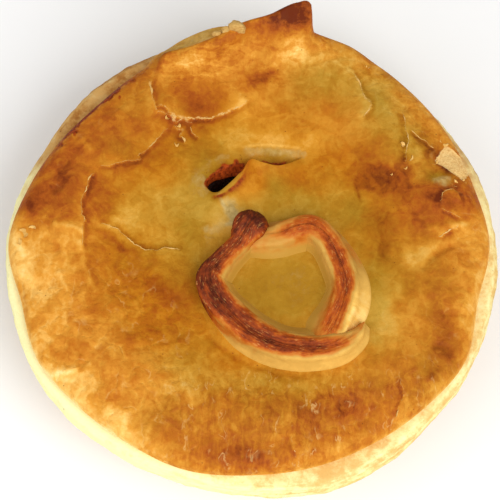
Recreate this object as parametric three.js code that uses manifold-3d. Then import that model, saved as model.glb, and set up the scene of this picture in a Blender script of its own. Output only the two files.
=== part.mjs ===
// A round mince pie, baked in a tapered tin and turned out: a pale pastry case, the mince inside it, a puff
// pastry lid with a slit vent and a fold at the far edge, and a strip of pastry laid on it in a ring.
// Millimetres, +Z up. The origin is the middle of the flat base, and the fold lies on the +Y side.
import * as THREE from "three";
import { mergeVertices } from "three/addons/utils/BufferGeometryUtils.js";
import Module from "manifold-3d";

const wasm = await Module();
wasm.setup();

// ---------------------------------------------------------------- driving dimensions
const PIE_RADIUS = 60; // the case at its widest, just under the lid
const BASE_RADIUS = 46; // the flat foot that stood on the tin
const CASE_HEIGHT = 30; // top of the flange that carries the lid
const CRUST = 4; // thickness of the case's floor and lower wall
const FLANGE_WIDTH = 5.6; // the flat top of the wall, under the lid's edge
const FLANGE_ROUNDING = 1.6; // from the flat top out to the widest radius
const BAND_BOTTOM = 19; // the wall is tapered below this height and puffed above it
const BAND_PUFF = 1.8; // how far the puffed band stands out from the taper
const LID_RADIUS = 58;
const LID_EDGE_HEIGHT = 32.3; // where the lid's rounded edge is widest
const GAP = 0.3; // between pieces that touch

// Each value is the offset from the nominal radius at one azimuth, from +X towards +Y, every 15 degrees.
const CASE_OFFSETS = [
  0.6, 0.7, -0.4, -0.6, 0.5, 0.3, 0, -1.6, -0.4, -0.5, -1.7, -0.6,
  0.2, 0.1, 0.4, 0.2, -0.2, -0.1, 0.4, 2.2, 2.0, 0.8, 1.0, 0.6,
];
const LID_OFFSETS = [
  0.4, -0.6, -0.4, 0, 1.0, 0.8, -0.5, -1.2, -3.0, -4.3, -3.1, -1.2,
  0.9, -1.0, 0.5, -0.4, -0.5, 0.3, -0.4, -0.4, -0.3, 0.3, 1.2, -1.2,
];

// The wall's stations above the rounded foot, and the inside of the case from the flange down to the floor.
const FOOT_ROUNDING = 1.5;
const WALL_HEIGHTS = [1.4, 7, 13];
const FLANGE_DROP = 1.2;
const FLANGE_SLOPE = 0.8;
const WAIST_HEIGHT = 13;
const WAIST_INSET = 8;
const HEEL = 1.5;

// The puffed band of the case shows the edges of its layers as shallow ledges that wander up and down.
const LAYER_DEPTH = 0.35;
const LAYER_PITCH = 2.6;
const LAYER_WANDER = [
  { turns: 3, swing: 0.8, start: 0 },
  { turns: 7, swing: 0.5, start: 40 },
];
const PUFF_START = 1; // the puff sets in this far below the band and is full this far above its bottom
const PUFF_END = 4;

// The lid is lowest in the middle, under the ring, and swells in a wide ridge before it rolls over at its
// edge.
const LID_MIDDLE_HEIGHT = 34.2;
const RIDGE_HEIGHT = 2.0;
const RIDGE_RADIUS = 44;
const RIDGE_WIDTH = 10;
const LID_RADII = [0, 6, 12, 18, 24, 30, 36.5]; // stations of the plain top
const RIM_START = 43; // where the rim's own sections begin
const SHOULDER_RADIUS = 47.5;
// The rolled edge, as [inset from the edge, share of the drop to the edge's height].
const ROLL = [[6.5, 0], [2.8, 0.15], [0.7, 0.55], [0, 1]];
// The hollowed underside, as [radius, height above its seat], and the rounding below the edge.
const UNDERSIDE = [[50, 0], [26, 0.9], [0, 1.2]];
const LOWER_EDGE = [[0.5, 0.8], [1.5, 0]];
// Blisters and dips that break the ridge up: [x, y, radius, height].
const SWELLINGS = [
  [48, 10, 7, 1.3],
  [50, -8, 7, 0.9],
  [40, -34, 9, 0.8],
  [8, -47, 12, 0.7],
  [-36, -32, 9, 0.6],
  [-46, 8, 9, 0.9],
  [-38, 30, 8, 0.7],
  [36, 30, 9, 0.6],
  [42, 0, 5, -0.9],
  [-22, 30, 7, -0.5],
  [24, -42, 6, -0.6],
  [7, -11, 9, -0.6],
];

// Torn edges of the lid's top layers. A flake stands up by its step on the left of its line and dies away
// over its reach; each line is a list of [x, y].
const FLAKES = [
  {
    line: [[-40.3, -4], [-40, 4], [-40.7, 9.4], [-38.3, 18.2], [-28.8, 21.5], [-23, 27.5], [-19.9, 31.1]],
    step: 0.6,
    reach: 9,
  },
  { line: [[-24, 34], [-20.4, 33.3], [-16.9, 32.5], [-10, 32.7], [-3, 35.5], [0, 38]], step: 0.6, reach: 6 },
  { line: [[27.6, 31.1], [30.2, 35.5], [29, 38.3], [27.4, 43], [25, 47]], step: 0.5, reach: 7 },
  { line: [[37.4, 34.5], [38.4, 31], [38.7, 27], [38.8, 23.7], [37.6, 19.3]], step: 0.5, reach: 4 },
  { line: [[51.4, 9.4], [50.6, 12.2], [48.6, 12.9], [46.8, 11.6], [45.6, 8.6]], step: 0.6, reach: 5 },
];
const FLAKE_SINK = 0.8; // how deep raised pieces reach into the sheet

// The slit vent. Its near lip stands up in a peak; each station is [x, y of the lip, rise of the lip].
const VENT_LIP = [
  [-10.4, 12.5, 0],
  [-7.6, 12.5, 0.6],
  [-4.8, 14, 1.5],
  [-2, 16.8, 2.8],
  [0, 20.1, 4],
  [3.4, 20.3, 1.9],
  [7, 19.8, 1.1],
  [10.4, 21, 0.6],
  [13.4, 22.4, 0],
];
const LIP_REACH = 6; // how far in front of the slit the lip starts to rise
const LIP_THICKNESS = 1;
const LIP_SINK = 1.5;
// Behind the lip's last stations the slit is pressed shut, as a shallow trough of these depths.
const TROUGH_DEPTHS = [0.3, 1.2, 1.7, 1, 0.2];
const TROUGH_FRONT = 0.7; // its front wall and its far side, measured back from the lip's crest
const TROUGH_BACK = 4;
const TROUGH_RIM = 0.6; // how far the cutter's far side stands above the lid
// The open part of the slit, which goes through the lid.
const VENT_MOUTH = [
  [-10.9, 15.8],
  [-9.8, 13.4],
  [-7.7, 13.1],
  [-5.3, 14.6],
  [-2.5, 17.2],
  [-0.7, 19.8],
  [-1.2, 20.9],
  [-4, 20.6],
  [-7.6, 19.2],
];

// The fold at the far edge, as sections of [radius, height] from its foot on the lid over the crest to the
// lid's edge. On the right the edge first lifts as a ledge, and the fold then rises from it in one tear.
const FOLD_SECTIONS = [
  { azimuth: 66, points: [[44, 36.1], [49.5, 36.8], [54.5, 37.4], [57.4, 36.8], [58.7, 35.6], [59.2, 34.2]] },
  { azimuth: 73.8, points: [[45, 36.1], [50.5, 37.4], [55, 39], [57.4, 38.4], [58.4, 37], [58.8, 35]] },
  { azimuth: 75.6, points: [[46, 36], [54.5, 39.8], [60.6, 44.8], [61.9, 43], [59.6, 39], [58.8, 35]] },
  { azimuth: 78.5, points: [[46.5, 35.8], [55, 40.4], [60.6, 45], [61.9, 43.2], [60, 39.6], [58.6, 35.4]] },
  { azimuth: 85, points: [[45, 36], [52.4, 39.2], [57.3, 43], [58.9, 41.6], [59, 38.8], [58.8, 35.4]] },
  { azimuth: 92, points: [[43.5, 36.2], [50.3, 38.6], [54.8, 43], [56.8, 40.8], [58.2, 38], [59.2, 35]] },
  { azimuth: 99, points: [[43, 36.2], [48, 38], [52.2, 42.2], [54.4, 39.4], [57, 36.6], [59.2, 35.2]] },
  { azimuth: 107, points: [[43.5, 36.2], [48, 37.6], [51.8, 40.8], [53.6, 38.4], [56, 36], [58.2, 34.2]] },
  { azimuth: 113, points: [[44, 36.2], [49.6, 36.7], [53.4, 38.2], [54.8, 37.2], [56, 35.4], [57, 33.4]] },
];
const FOLD_RIGHT_END = 56; // the ledge runs out here
const FOLD_LEFT_END = 120; // and the fold here
// Crumbs of puffed pastry baked on to the fold's crest.
const CRUMBS = [
  { centre: [-3.4, 54.6, 42.6], size: [2.1, 1.4, 1.5] },
  { centre: [-6.2, 53.6, 41.8], size: [1.6, 1, 1] },
];

// The ring's two strands. Each station is [x, y, height, half width of the crest, foot on the left, foot on
// the right], where left and right are seen along the strand.
const LONG_STRAND = [
  [2.9, 6.3, 2.2, 0.3, 0.6, 0.6],
  [2.3, 5.5, 4.2, 2.2, 3.0, 2.8],
  [1.2, 4.0, 5.7, 3.4, 4.3, 4.1],
  [-0.4, 1.9, 6.1, 3.8, 4.4, 4.2],
  [-2.6, -1.8, 5.5, 2.4, 3.4, 2.5],
  [-6.8, -6.4, 5.4, 2.6, 4.0, 2.6],
  [-9.5, -10.8, 5.6, 3.2, 5.2, 2.9],
  [-7.9, -15.7, 5.6, 3.3, 5.4, 3.1],
  [-4.0, -20.3, 5.5, 3.4, 5.8, 4.1],
  [1.1, -24.7, 5.4, 3.4, 6.0, 4.8],
  [7.6, -27.8, 5.3, 3.2, 6.1, 4.7],
  [14.6, -28.8, 5.2, 3.0, 6.4, 4.5],
  [20.6, -27.9, 5.0, 2.8, 5.4, 4.1],
  [24.8, -25.4, 4.2, 1.6, 3.6, 3.1],
  [27.0, -22.0, 3.0, 0.4, 1.2, 1.6],
];
const SHORT_STRAND = [
  [-2.6, -1.8, 3.0, 1.8, 2.4, 2.4],
  [1.4, -0.2, 3.2, 2.2, 3.6, 4.0],
  [6.4, 0.6, 3.8, 2.6, 4.4, 4.6],
  [10.8, 2.0, 4.8, 2.8, 3.8, 4.8],
  [15.0, 2.2, 5.4, 2.8, 3.6, 4.6],
  [18.6, -0.8, 5.4, 2.7, 4.2, 4.2],
  [21.2, -6.2, 5.4, 2.7, 5.2, 4.2],
  [22.8, -12.0, 5.4, 2.8, 5.8, 4.4],
  [22.0, -17.6, 5.2, 3.0, 6.0, 5.4],
  [19.6, -23.4, 4.4, 3.0, 4.6, 6.4],
  [17.6, -27.4, 3.6, 2.4, 3.2, 4.6],
];
const CREST_GROOVE = 0.35; // a crease runs along the top of both strands
const FOOT_HEIGHT = 0.2;
const FOOT_DEPTH = 1; // how far a strand reaches down before the lid's surface is cut out of it

// The mince fills the case, lumpy on top and sunk a little under the vent.
const MINCE_TOP = 29.4;
const MINCE_CROWN = 0.9;
const MINCE_RADII = [0, 5, 10, 14, 18, 22, 28, 35, 42]; // stations of its top
const MINCE_EDGE = [[3, 1.2], [1.2, 2.2]]; // its rounded edge: [inset from the wall, depth below the flange]
const LUMP = 0.35;
const LUMP_LENGTH = 7;
const LUMP_WIDTH = 8;
const VENT_HOLLOW = { x: -5.5, y: 16, radius: 6, depth: 4.5 };

// Smoothness of the turned pieces and of the swept ones.
const CASE_STEPS = 84;
const LIP_STEPS = 3; // between two stations
const MOUTH_STEPS = 18;
const MINCE_STEPS = 40;
const LID_STEP = 3.6; // degrees
const FOLD_STEP = 2.4; // degrees
const LONG_STEPS = 36;
const SHORT_STEPS = 26;

// ---------------------------------------------------------------- small helpers
const { clamp, smoothstep, lerp, degToRad } = THREE.MathUtils;
const bell = (distance, width) => Math.exp(-((distance / width) ** 2));

// A smooth value between p1 and p2, with the neighbours p0 and p3.
function catmullRom(p0, p1, p2, p3, t) {
  const a = 2 * p1;
  const b = p2 - p0;
  const c = 2 * p0 - 5 * p1 + 4 * p2 - p3;
  const d = 3 * (p1 - p2) + p3 - p0;
  return 0.5 * (a + t * (b + t * (c + t * d)));
}

// Smooth interpolation in a list of equal-length rows of numbers, at position t from 0 to the last row.
function alongRows(rows, t) {
  const i = Math.min(Math.floor(t), rows.length - 2);
  const row = (k) => rows[clamp(k, 0, rows.length - 1)];
  return rows[i].map((_, c) => catmullRom(row(i - 1)[c], row(i)[c], row(i + 1)[c], row(i + 2)[c], t - i));
}

// Smooth interpolation in values given at even steps round a full turn.
function around(values, azimuth) {
  const n = values.length;
  const t = (azimuth / 360) * n;
  const i = Math.floor(t);
  const at = (k) => values[((k % n) + n) % n];
  return catmullRom(at(i - 1), at(i), at(i + 1), at(i + 2), t - i);
}

const caseRadius = (azimuth) => PIE_RADIUS + around(CASE_OFFSETS, azimuth);
const flangeInner = (azimuth) => caseRadius(azimuth) - FLANGE_ROUNDING - FLANGE_WIDTH;

// ---------------------------------------------------------------- solids
// A manifold solid from a geometry whose only attribute is its position.
function solid(geometry) {
  const merged = mergeVertices(geometry, 1e-4);
  const vertProperties = merged.attributes.position.array;
  const triVerts = new Uint32Array(merged.index.array);
  return new wasm.Manifold(new wasm.Mesh({ numProp: 3, vertProperties, triVerts }));
}

// A skin over outlines of equal length, each joined to the next. Where round is true the last outline joins
// the first, and both ends of every outline lie on the axis. Otherwise each outline is closed, and so are the
// two ends.
function skin(outlines, round) {
  const n = outlines[0].length;
  const index = [];
  const steps = outlines.length - (round ? 0 : 1);
  for (let i = 0; i < steps; i++) {
    const here = i * n;
    const next = ((i + 1) % outlines.length) * n;
    for (let k = 0; k < (round ? n - 1 : n); k++) {
      const m = (k + 1) % n;
      index.push(here + k, next + m, next + k, here + k, here + m, next + m);
    }
  }
  if (!round) {
    for (let k = 1; k < n - 1; k++) {
      index.push(0, k + 1, k);
      index.push(steps * n, steps * n + k, steps * n + k + 1);
    }
  }
  const geometry = new THREE.BufferGeometry();
  geometry.setAttribute("position", new THREE.Float32BufferAttribute(outlines.flat(2), 3));
  geometry.setIndex(index);
  return solid(geometry);
}

// A solid round the Z axis: profile(azimuth) gives [radius, height] from the axis above, over the outside, to
// the axis below.
function turned(azimuths, profile) {
  const outlines = azimuths.map((azimuth) => {
    const c = Math.cos(degToRad(azimuth));
    const s = Math.sin(degToRad(azimuth));
    return profile(azimuth).map(([r, z]) => [r * c, r * s, z]);
  });
  return skin(outlines, true);
}

const TANGENT_STEP = 0.05; // in stations

// A solid carried along a line on the lid. The stations are [x, y, sizes...], and section(sizes) gives
// [across, up] from the left over the top to the right, where up is measured from the lid's surface there.
function carried(stations, steps, section) {
  const outlines = [];
  const end = stations.length - 1;
  for (let i = 0; i <= steps; i++) {
    const t = (i / steps) * end;
    const [x, y, ...sizes] = alongRows(stations, t);
    const [ax, ay] = alongRows(stations, Math.max(t - TANGENT_STEP, 0));
    const [bx, by] = alongRows(stations, Math.min(t + TANGENT_STEP, end));
    const length = Math.hypot(bx - ax, by - ay);
    const left = [-(by - ay) / length, (bx - ax) / length];
    outlines.push(
      section(...sizes).map(([across, up]) => {
        const px = x + left[0] * across;
        const py = y + left[1] * across;
        return [px, py, lidHeight(px, py) + up];
      }),
    );
  }
  return skin(outlines, false);
}

function evenAzimuths(count) {
  return Array.from({ length: count }, (_, i) => (360 * i) / count);
}

function meshOf(name, made, color, roughness) {
  const { vertProperties, triVerts } = made.getMesh();
  const geometry = new THREE.BufferGeometry();
  geometry.setAttribute("position", new THREE.BufferAttribute(vertProperties, 3));
  geometry.setIndex(new THREE.BufferAttribute(triVerts, 1));
  geometry.computeVertexNormals();
  const mesh = new THREE.Mesh(geometry, new THREE.MeshStandardMaterial({ color, roughness, metalness: 0 }));
  mesh.name = name;
  return mesh;
}

// ---------------------------------------------------------------- the lid
function lidHeight(x, y) {
  const ridge = RIDGE_HEIGHT * bell(Math.hypot(x, y) - RIDGE_RADIUS, RIDGE_WIDTH);
  const swollen = SWELLINGS.reduce((sum, [sx, sy, radius, height]) => {
    return sum + height * bell(Math.hypot(x - sx, y - sy), radius);
  }, 0);
  return LID_MIDDLE_HEIGHT + ridge + swollen;
}

function lidHeightAt(azimuth, r) {
  return lidHeight(r * Math.cos(degToRad(azimuth)), r * Math.sin(degToRad(azimuth)));
}

// The outer part of the lid's top where it simply rolls over at the edge.
function plainRim(azimuth) {
  const edge = LID_RADIUS + around(LID_OFFSETS, azimuth);
  const shoulder = lidHeightAt(azimuth, edge - ROLL[0][0]);
  return [
    [RIM_START, lidHeightAt(azimuth, RIM_START)],
    [SHOULDER_RADIUS, lidHeightAt(azimuth, SHOULDER_RADIUS)],
    ...ROLL.map(([inset, drop]) => [edge - inset, lerp(shoulder, LID_EDGE_HEIGHT, drop)]),
  ];
}

// The same part of the lid where it is folded up, between the sections given above.
function foldedRim(azimuth) {
  const stations = FOLD_SECTIONS.map((section) => section.azimuth);
  const a = clamp(azimuth, stations[0], stations.at(-1));
  const i = Math.max(stations.findIndex((_, k) => a <= stations[k + 1]), 0);
  const share = (a - stations[i]) / (stations[i + 1] - stations[i]);
  const flat = FOLD_SECTIONS.map((section) => section.points.flat());
  const row = alongRows(flat, i + share);
  return FOLD_SECTIONS[0].points.map((_, k) => [row[2 * k], row[2 * k + 1]]);
}

function rim(azimuth) {
  const rising = smoothstep(azimuth, FOLD_RIGHT_END, FOLD_SECTIONS[0].azimuth);
  const falling = smoothstep(azimuth, FOLD_SECTIONS.at(-1).azimuth, FOLD_LEFT_END);
  const folded = rising * (1 - falling);
  const plain = plainRim(azimuth);
  if (folded === 0) return plain;
  return foldedRim(azimuth).map(([r, z], k) => [lerp(plain[k][0], r, folded), lerp(plain[k][1], z, folded)]);
}

function lidProfile(azimuth) {
  const middle = LID_RADII.map((r) => [r, lidHeightAt(azimuth, r)]);
  const points = [middle.at(-1), ...rim(azimuth)];
  const outer = [];
  for (let k = 1; k < points.length - 1; k++) {
    outer.push(points[k], alongRows(points, k + 0.5));
  }
  const [edge] = points.at(-1);
  const seat = CASE_HEIGHT + GAP;
  return [
    ...middle,
    ...outer,
    points.at(-1),
    ...LOWER_EDGE.map(([inset, rise]) => [edge - inset, seat + rise]),
    ...UNDERSIDE.map(([r, rise]) => [r, seat + rise]),
  ];
}

// A flake's section: a torn face on its line and a top that dies away to the left.
function flakeSection(step, reach) {
  return [
    [reach, -FLAKE_SINK],
    [reach, -0.2 * FLAKE_SINK],
    [reach * 0.45, step * 0.5],
    [0, step],
    [0, -FLAKE_SINK],
  ];
}

// Flakes fade in and out along their line.
function makeFlake({ line, step, reach }) {
  const last = line.length - 1;
  const stations = line.map(([x, y], i) => [x, y, i === 0 || i === last ? 0 : step, reach]);
  return carried(stations, 2 * last, flakeSection);
}

// The lip's section: a steep back and a front that falls away in a hollow curve.
function makeVentLip() {
  return carried(VENT_LIP, LIP_STEPS * (VENT_LIP.length - 1), (rise) => [
    [LIP_THICKNESS, -LIP_SINK],
    [LIP_THICKNESS * 0.9, rise * 0.5],
    [0, rise],
    [-LIP_REACH * 0.2, rise * 0.6],
    [-LIP_REACH * 0.5, rise * 0.22],
    [-LIP_REACH, -0.2 * LIP_SINK],
    [-LIP_REACH, -LIP_SINK],
  ]);
}

// The trough is deepest just behind the lip, and its cutter stands clear above the lip.
function makeVentTrough() {
  const line = VENT_LIP.slice(-TROUGH_DEPTHS.length);
  const stations = line.map(([x, y], i) => [x, y, TROUGH_DEPTHS[i]]);
  return carried(stations, LIP_STEPS * (stations.length - 1), (depth) => [
    [TROUGH_BACK, LIP_REACH],
    [TROUGH_FRONT, LIP_REACH],
    [TROUGH_FRONT, -depth],
    [lerp(TROUGH_FRONT, TROUGH_BACK, 0.5), -depth * 0.7],
    [TROUGH_BACK, TROUGH_RIM],
  ]);
}

function makeVentMouth() {
  const outline = new THREE.SplineCurve(VENT_MOUTH.map(([x, y]) => new THREE.Vector2(x, y)));
  const cutter = new THREE.ExtrudeGeometry(new THREE.Shape(outline.getPoints(MOUTH_STEPS)), {
    depth: 2 * CASE_HEIGHT,
    bevelEnabled: false,
  });
  cutter.deleteAttribute("normal");
  cutter.deleteAttribute("uv");
  return solid(cutter);
}

function makeCrumb({ centre, size }) {
  const lump = new THREE.IcosahedronGeometry(1, 1);
  lump.deleteAttribute("normal");
  lump.deleteAttribute("uv");
  lump.scale(...size).translate(...centre);
  return solid(lump);
}

function makeLid() {
  const azimuths = [];
  for (let a = 0; a < 360 - LID_STEP / 2; ) {
    azimuths.push(a);
    a += a >= FOLD_SECTIONS[0].azimuth && a < FOLD_LEFT_END ? FOLD_STEP : LID_STEP;
  }
  const sheet = turned(azimuths, lidProfile);
  const raised = [...FLAKES.map(makeFlake), makeVentLip(), ...CRUMBS.map(makeCrumb)];
  const whole = raised.reduce((made, piece) => made.add(piece), sheet);
  return whole.subtract(makeVentTrough()).subtract(makeVentMouth());
}

// ---------------------------------------------------------------- the case
function caseProfile(azimuth) {
  const widest = caseRadius(azimuth);
  const taperTop = widest - BAND_PUFF;
  const slope = (taperTop - BASE_RADIUS) / BAND_BOTTOM;
  const wall = WALL_HEIGHTS.map((z) => [BASE_RADIUS + slope * z, z]);
  const wander = LAYER_WANDER.reduce((sum, wave) => {
    return sum + wave.swing * Math.sin(degToRad(wave.turns * azimuth + wave.start));
  }, 1);
  const band = [];
  for (let z = BAND_BOTTOM; z <= CASE_HEIGHT - 1; z += LAYER_PITCH / 2) {
    const puff = BAND_PUFF * smoothstep(z, BAND_BOTTOM - PUFF_START, BAND_BOTTOM + PUFF_END);
    const ledge = LAYER_DEPTH * Math.sin((2 * Math.PI * z) / LAYER_PITCH + wander);
    band.push([taperTop + puff - LAYER_DEPTH + ledge, z]);
  }
  const inner = flangeInner(azimuth);
  const foot = [[0, 0], [BASE_RADIUS - FOOT_ROUNDING, 0]];
  const outside = [...foot, ...wall, ...band, [inner + FLANGE_WIDTH, CASE_HEIGHT]];
  const inside = [
    [inner, CASE_HEIGHT],
    [inner - FLANGE_SLOPE, CASE_HEIGHT - FLANGE_DROP],
    [inner - WAIST_INSET, WAIST_HEIGHT],
    [BASE_RADIUS - CRUST + 1, CRUST + HEEL],
    [BASE_RADIUS - CRUST - 1, CRUST],
    [0, CRUST],
  ];
  return [...outside, ...inside].reverse();
}

// ---------------------------------------------------------------- the mince
function minceHeight(azimuth, r) {
  const x = r * Math.cos(degToRad(azimuth));
  const y = r * Math.sin(degToRad(azimuth));
  const lumps = LUMP * Math.sin((2 * Math.PI * x) / LUMP_LENGTH) * Math.cos((2 * Math.PI * y) / LUMP_WIDTH);
  const away = Math.hypot(x - VENT_HOLLOW.x, y - VENT_HOLLOW.y);
  const hollow = VENT_HOLLOW.depth * bell(away, VENT_HOLLOW.radius);
  return MINCE_TOP + MINCE_CROWN * (1 - (r / BASE_RADIUS) ** 2) + lumps - hollow;
}

function minceProfile(azimuth) {
  const wall = flangeInner(azimuth) - GAP;
  const floor = BASE_RADIUS - CRUST - GAP;
  return [
    ...MINCE_RADII.map((r) => [r, minceHeight(azimuth, r)]),
    ...MINCE_EDGE.map(([inset, depth]) => [wall - inset, CASE_HEIGHT - depth]),
    [wall - WAIST_INSET, WAIST_HEIGHT],
    [floor + 0.8, CRUST + HEEL + GAP],
    [floor - 1, CRUST + GAP],
    [0, CRUST + GAP],
  ];
}

// ---------------------------------------------------------------- the ring
// A strand's section: steep sides, a broad creased crest and feet that spread on the lid.
function strandSection(height, crest, left, right) {
  return [
    [left, -FOOT_DEPTH],
    [left, FOOT_HEIGHT],
    [lerp(crest, left, 0.35), height * 0.5],
    [crest, height * 0.85],
    [crest * 0.5, height],
    [0, height - CREST_GROOVE],
    [-crest * 0.5, height],
    [-crest, height * 0.85],
    [-lerp(crest, right, 0.35), height * 0.5],
    [-right, FOOT_HEIGHT],
    [-right, -FOOT_DEPTH],
  ];
}

function makeRing(lid) {
  const longStrand = carried(LONG_STRAND, LONG_STEPS, strandSection);
  const shortStrand = carried(SHORT_STRAND, SHORT_STEPS, strandSection);
  return longStrand.add(shortStrand).subtract(lid.translate([0, 0, GAP]));
}

// ---------------------------------------------------------------- the pie
const lid = makeLid();
const pie = new THREE.Group();
pie.add(
  meshOf("case", turned(evenAzimuths(CASE_STEPS), caseProfile), 0xf3dc9a, 0.75),
  meshOf("mince", turned(evenAzimuths(MINCE_STEPS), minceProfile), 0x4a2410, 0.45),
  meshOf("lid", lid, 0xc9862f, 0.6),
  meshOf("ring", makeRing(lid), 0xa8572a, 0.6),
);

export default pie;
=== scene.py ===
"""The looks of a round mince pie: a pale tapered case, mince, a browned puff pastry lid and a ring of pastry.

Shapes are worked out in millimetres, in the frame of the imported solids, and put into the meshes in metres.
+Z is up, the origin is the middle of the flat base, and the lid's turned-up fold lies on the +Y side.
"""
import itertools
import logging
import math
from dataclasses import dataclass
from enum import Enum

import bpy
import numpy as np
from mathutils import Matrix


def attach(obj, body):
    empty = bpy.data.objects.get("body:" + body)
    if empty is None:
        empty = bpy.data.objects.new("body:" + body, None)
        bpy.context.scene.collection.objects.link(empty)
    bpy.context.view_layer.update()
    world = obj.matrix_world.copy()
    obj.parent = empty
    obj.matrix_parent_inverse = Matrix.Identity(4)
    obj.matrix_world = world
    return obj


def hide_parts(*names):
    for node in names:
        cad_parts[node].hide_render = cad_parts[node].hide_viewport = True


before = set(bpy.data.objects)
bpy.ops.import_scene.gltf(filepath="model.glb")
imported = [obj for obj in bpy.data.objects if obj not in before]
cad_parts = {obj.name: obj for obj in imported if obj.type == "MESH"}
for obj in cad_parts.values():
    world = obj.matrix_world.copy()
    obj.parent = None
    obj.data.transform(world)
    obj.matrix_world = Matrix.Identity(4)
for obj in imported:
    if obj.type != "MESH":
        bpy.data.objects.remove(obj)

MM = 0.001
Array = np.ndarray
Socket = bpy.types.NodeSocket
Colour = tuple[float, float, float, float]
Stops = tuple[tuple[float, Colour], ...]
Sizes = tuple[float, float, float]
CORNER_PRIMES = (73856093, 19349663, 83492791)
SEED_PRIME = 668265263
MIXERS = (2654435761, 2246822519)
WORD = 0xFFFFFFFF
OCTAVE_SHIFT = 17.3
log = logging.getLogger("pie")


# ---- curves and noise
def bell(distance: Array, width: float | Array) -> Array:
    """One at distance zero, falling off as exp(-(distance / width)^2)."""
    return np.exp(-((distance / width) ** 2))


def ease(value: Array, low: float, high: float) -> Array:
    """The step 3 t^2 - 2 t^3 from zero at low to one at high, where low may lie above high."""
    t = np.clip((value - low) / (high - low), 0.0, 1.0)
    return t * t * (3 - 2 * t)


def catmull(before: Array, start: Array, end: Array, after: Array, t: Array) -> Array:
    """The cubic from start (t = 0) to end (t = 1), sloped there as half the chord of their neighbours.

    Args:
        before, start, end, after: the values at t = -1, 0, 1 and 2.
        t: places between start and end.

    Returns:
        The value at each place.
    """
    b = end - before
    c = 2 * before - 5 * start + 4 * end - after
    d = 3 * (start - end) + after - before
    return start + 0.5 * t * (b + t * (c + t * d))


def along(rows: Array, t: Array) -> Array:
    """Smooth values between the rows of a table.

    Args:
        rows: the table, with one station in each row.
        t: places in it, from 0 at the first row to len(rows) - 1 at the last.

    Returns:
        One row for each place, on the cubic of catmull, with the end rows repeated past the ends.
    """
    last = len(rows) - 1
    i = np.clip(np.floor(t).astype(int), 0, last - 1)
    share = (t - i).reshape(t.shape + (1,) * (rows.ndim - 1))
    before, start, end, after = (rows[np.clip(i + k, 0, last)] for k in (-1, 0, 1, 2))
    return catmull(before, start, end, after, share)


def around(values: Array, azimuth: Array) -> Array:
    """Smooth values between ones given at even steps round a full turn.

    Args:
        values: the values, the first of them at azimuth zero.
        azimuth: places round the turn, in degrees.

    Returns:
        The value at each place, on the cubic of catmull.
    """
    n = len(values)
    t = azimuth / 360 * n
    i = np.floor(t).astype(int)
    before, start, end, after = (values[(i + k) % n] for k in (-1, 0, 1, 2))
    return catmull(before, start, end, after, t - i)


def lattice_noise(points: Array, size: float | Sizes, seed: int) -> Array:
    """Smooth random values from -1 to 1 in space.

    Each corner of a lattice of cells holds a random value. A point takes the mean of its cell's eight
    corners, weighted along each axis by 3 f^2 - 2 f^3 or its complement, where f is how far across the
    cell it lies.

    Args:
        points: places, in mm, with x, y and z on the last axis.
        size: the cell's size in mm, one number or one for each axis.
        seed: which random lattice.

    Returns:
        One value for each place.
    """
    scaled = points / np.asarray(size)
    cell = np.floor(scaled).astype(np.int64)
    f = scaled - cell
    weight = f * f * (3 - 2 * f)
    total = np.zeros(points.shape[:-1])
    for corner in itertools.product((0, 1), repeat=3):
        k = cell + np.array(corner)
        mixed = np.bitwise_xor.reduce(k * np.array(CORNER_PRIMES), axis=-1) ^ (seed * SEED_PRIME)
        mixed = ((mixed & WORD) * MIXERS[0]) & WORD
        mixed = ((mixed ^ (mixed >> 15)) * MIXERS[1]) & WORD
        mixed ^= mixed >> 13
        share = np.prod(np.where(np.array(corner) == 1, weight, 1 - weight), axis=-1)
        total += share * (mixed / (WORD // 2) - 1.0)
    return total


def fractal(points: Array, size: float | Sizes, seed: int, octaves: int = 3) -> Array:
    """A sum of lattice_noise, where each octave has half the size and half the height of the one before.

    Args:
        points: places, in mm, with x, y and z on the last axis.
        size: the first octave's cell size in mm, one number or one for each axis.
        seed: the first octave's random lattice.
        octaves: how many are summed.

    Returns:
        One value for each place.
    """
    total = np.zeros(points.shape[:-1])
    for k in range(octaves):
        total += 0.5**k * lattice_noise(points + OCTAVE_SHIFT * k, np.asarray(size) * 0.5**k, seed + k)
    return total


def flat_points(x: Array, y: Array) -> Array:
    """Points in the plane z = 0."""
    return np.stack([x, y, np.zeros_like(x)], axis=-1)


def beside(x: Array, y: Array, line: Array, steps: int = 6) -> tuple[Array, Array]:
    """Where points lie beside a smooth line.

    The line is cut into short straight pieces. The nearest place on each is the foot of the
    perpendicular, held between the piece's ends, and the smallest of those distances counts.

    Args:
        x: the points' x.
        y: the points' y.
        line: the line's stations, with x and y in the first two columns.
        steps: straight pieces between two stations.

    Returns:
        The distance, positive on the left of the line, and the place along it, from 0 to the last station.
    """
    t = np.linspace(0, len(line) - 1, steps * (len(line) - 1) + 1)
    path = along(line[:, :2], t)
    best = np.full(x.shape, np.inf)
    signed = np.zeros(x.shape)
    place = np.zeros(x.shape)
    for a, b, ta, tb in zip(path[:-1], path[1:], t[:-1], t[1:]):
        dx, dy = b - a
        share = np.clip(((x - a[0]) * dx + (y - a[1]) * dy) / (dx * dx + dy * dy), 0, 1)
        away = np.hypot(x - a[0] - share * dx, y - a[1] - share * dy)
        left = np.sign(dx * (y - a[1]) - dy * (x - a[0]))
        nearer = away < best
        best = np.where(nearer, away, best)
        signed = np.where(nearer, left * away, signed)
        place = np.where(nearer, ta + share * (tb - ta), place)
    return signed, place


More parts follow.
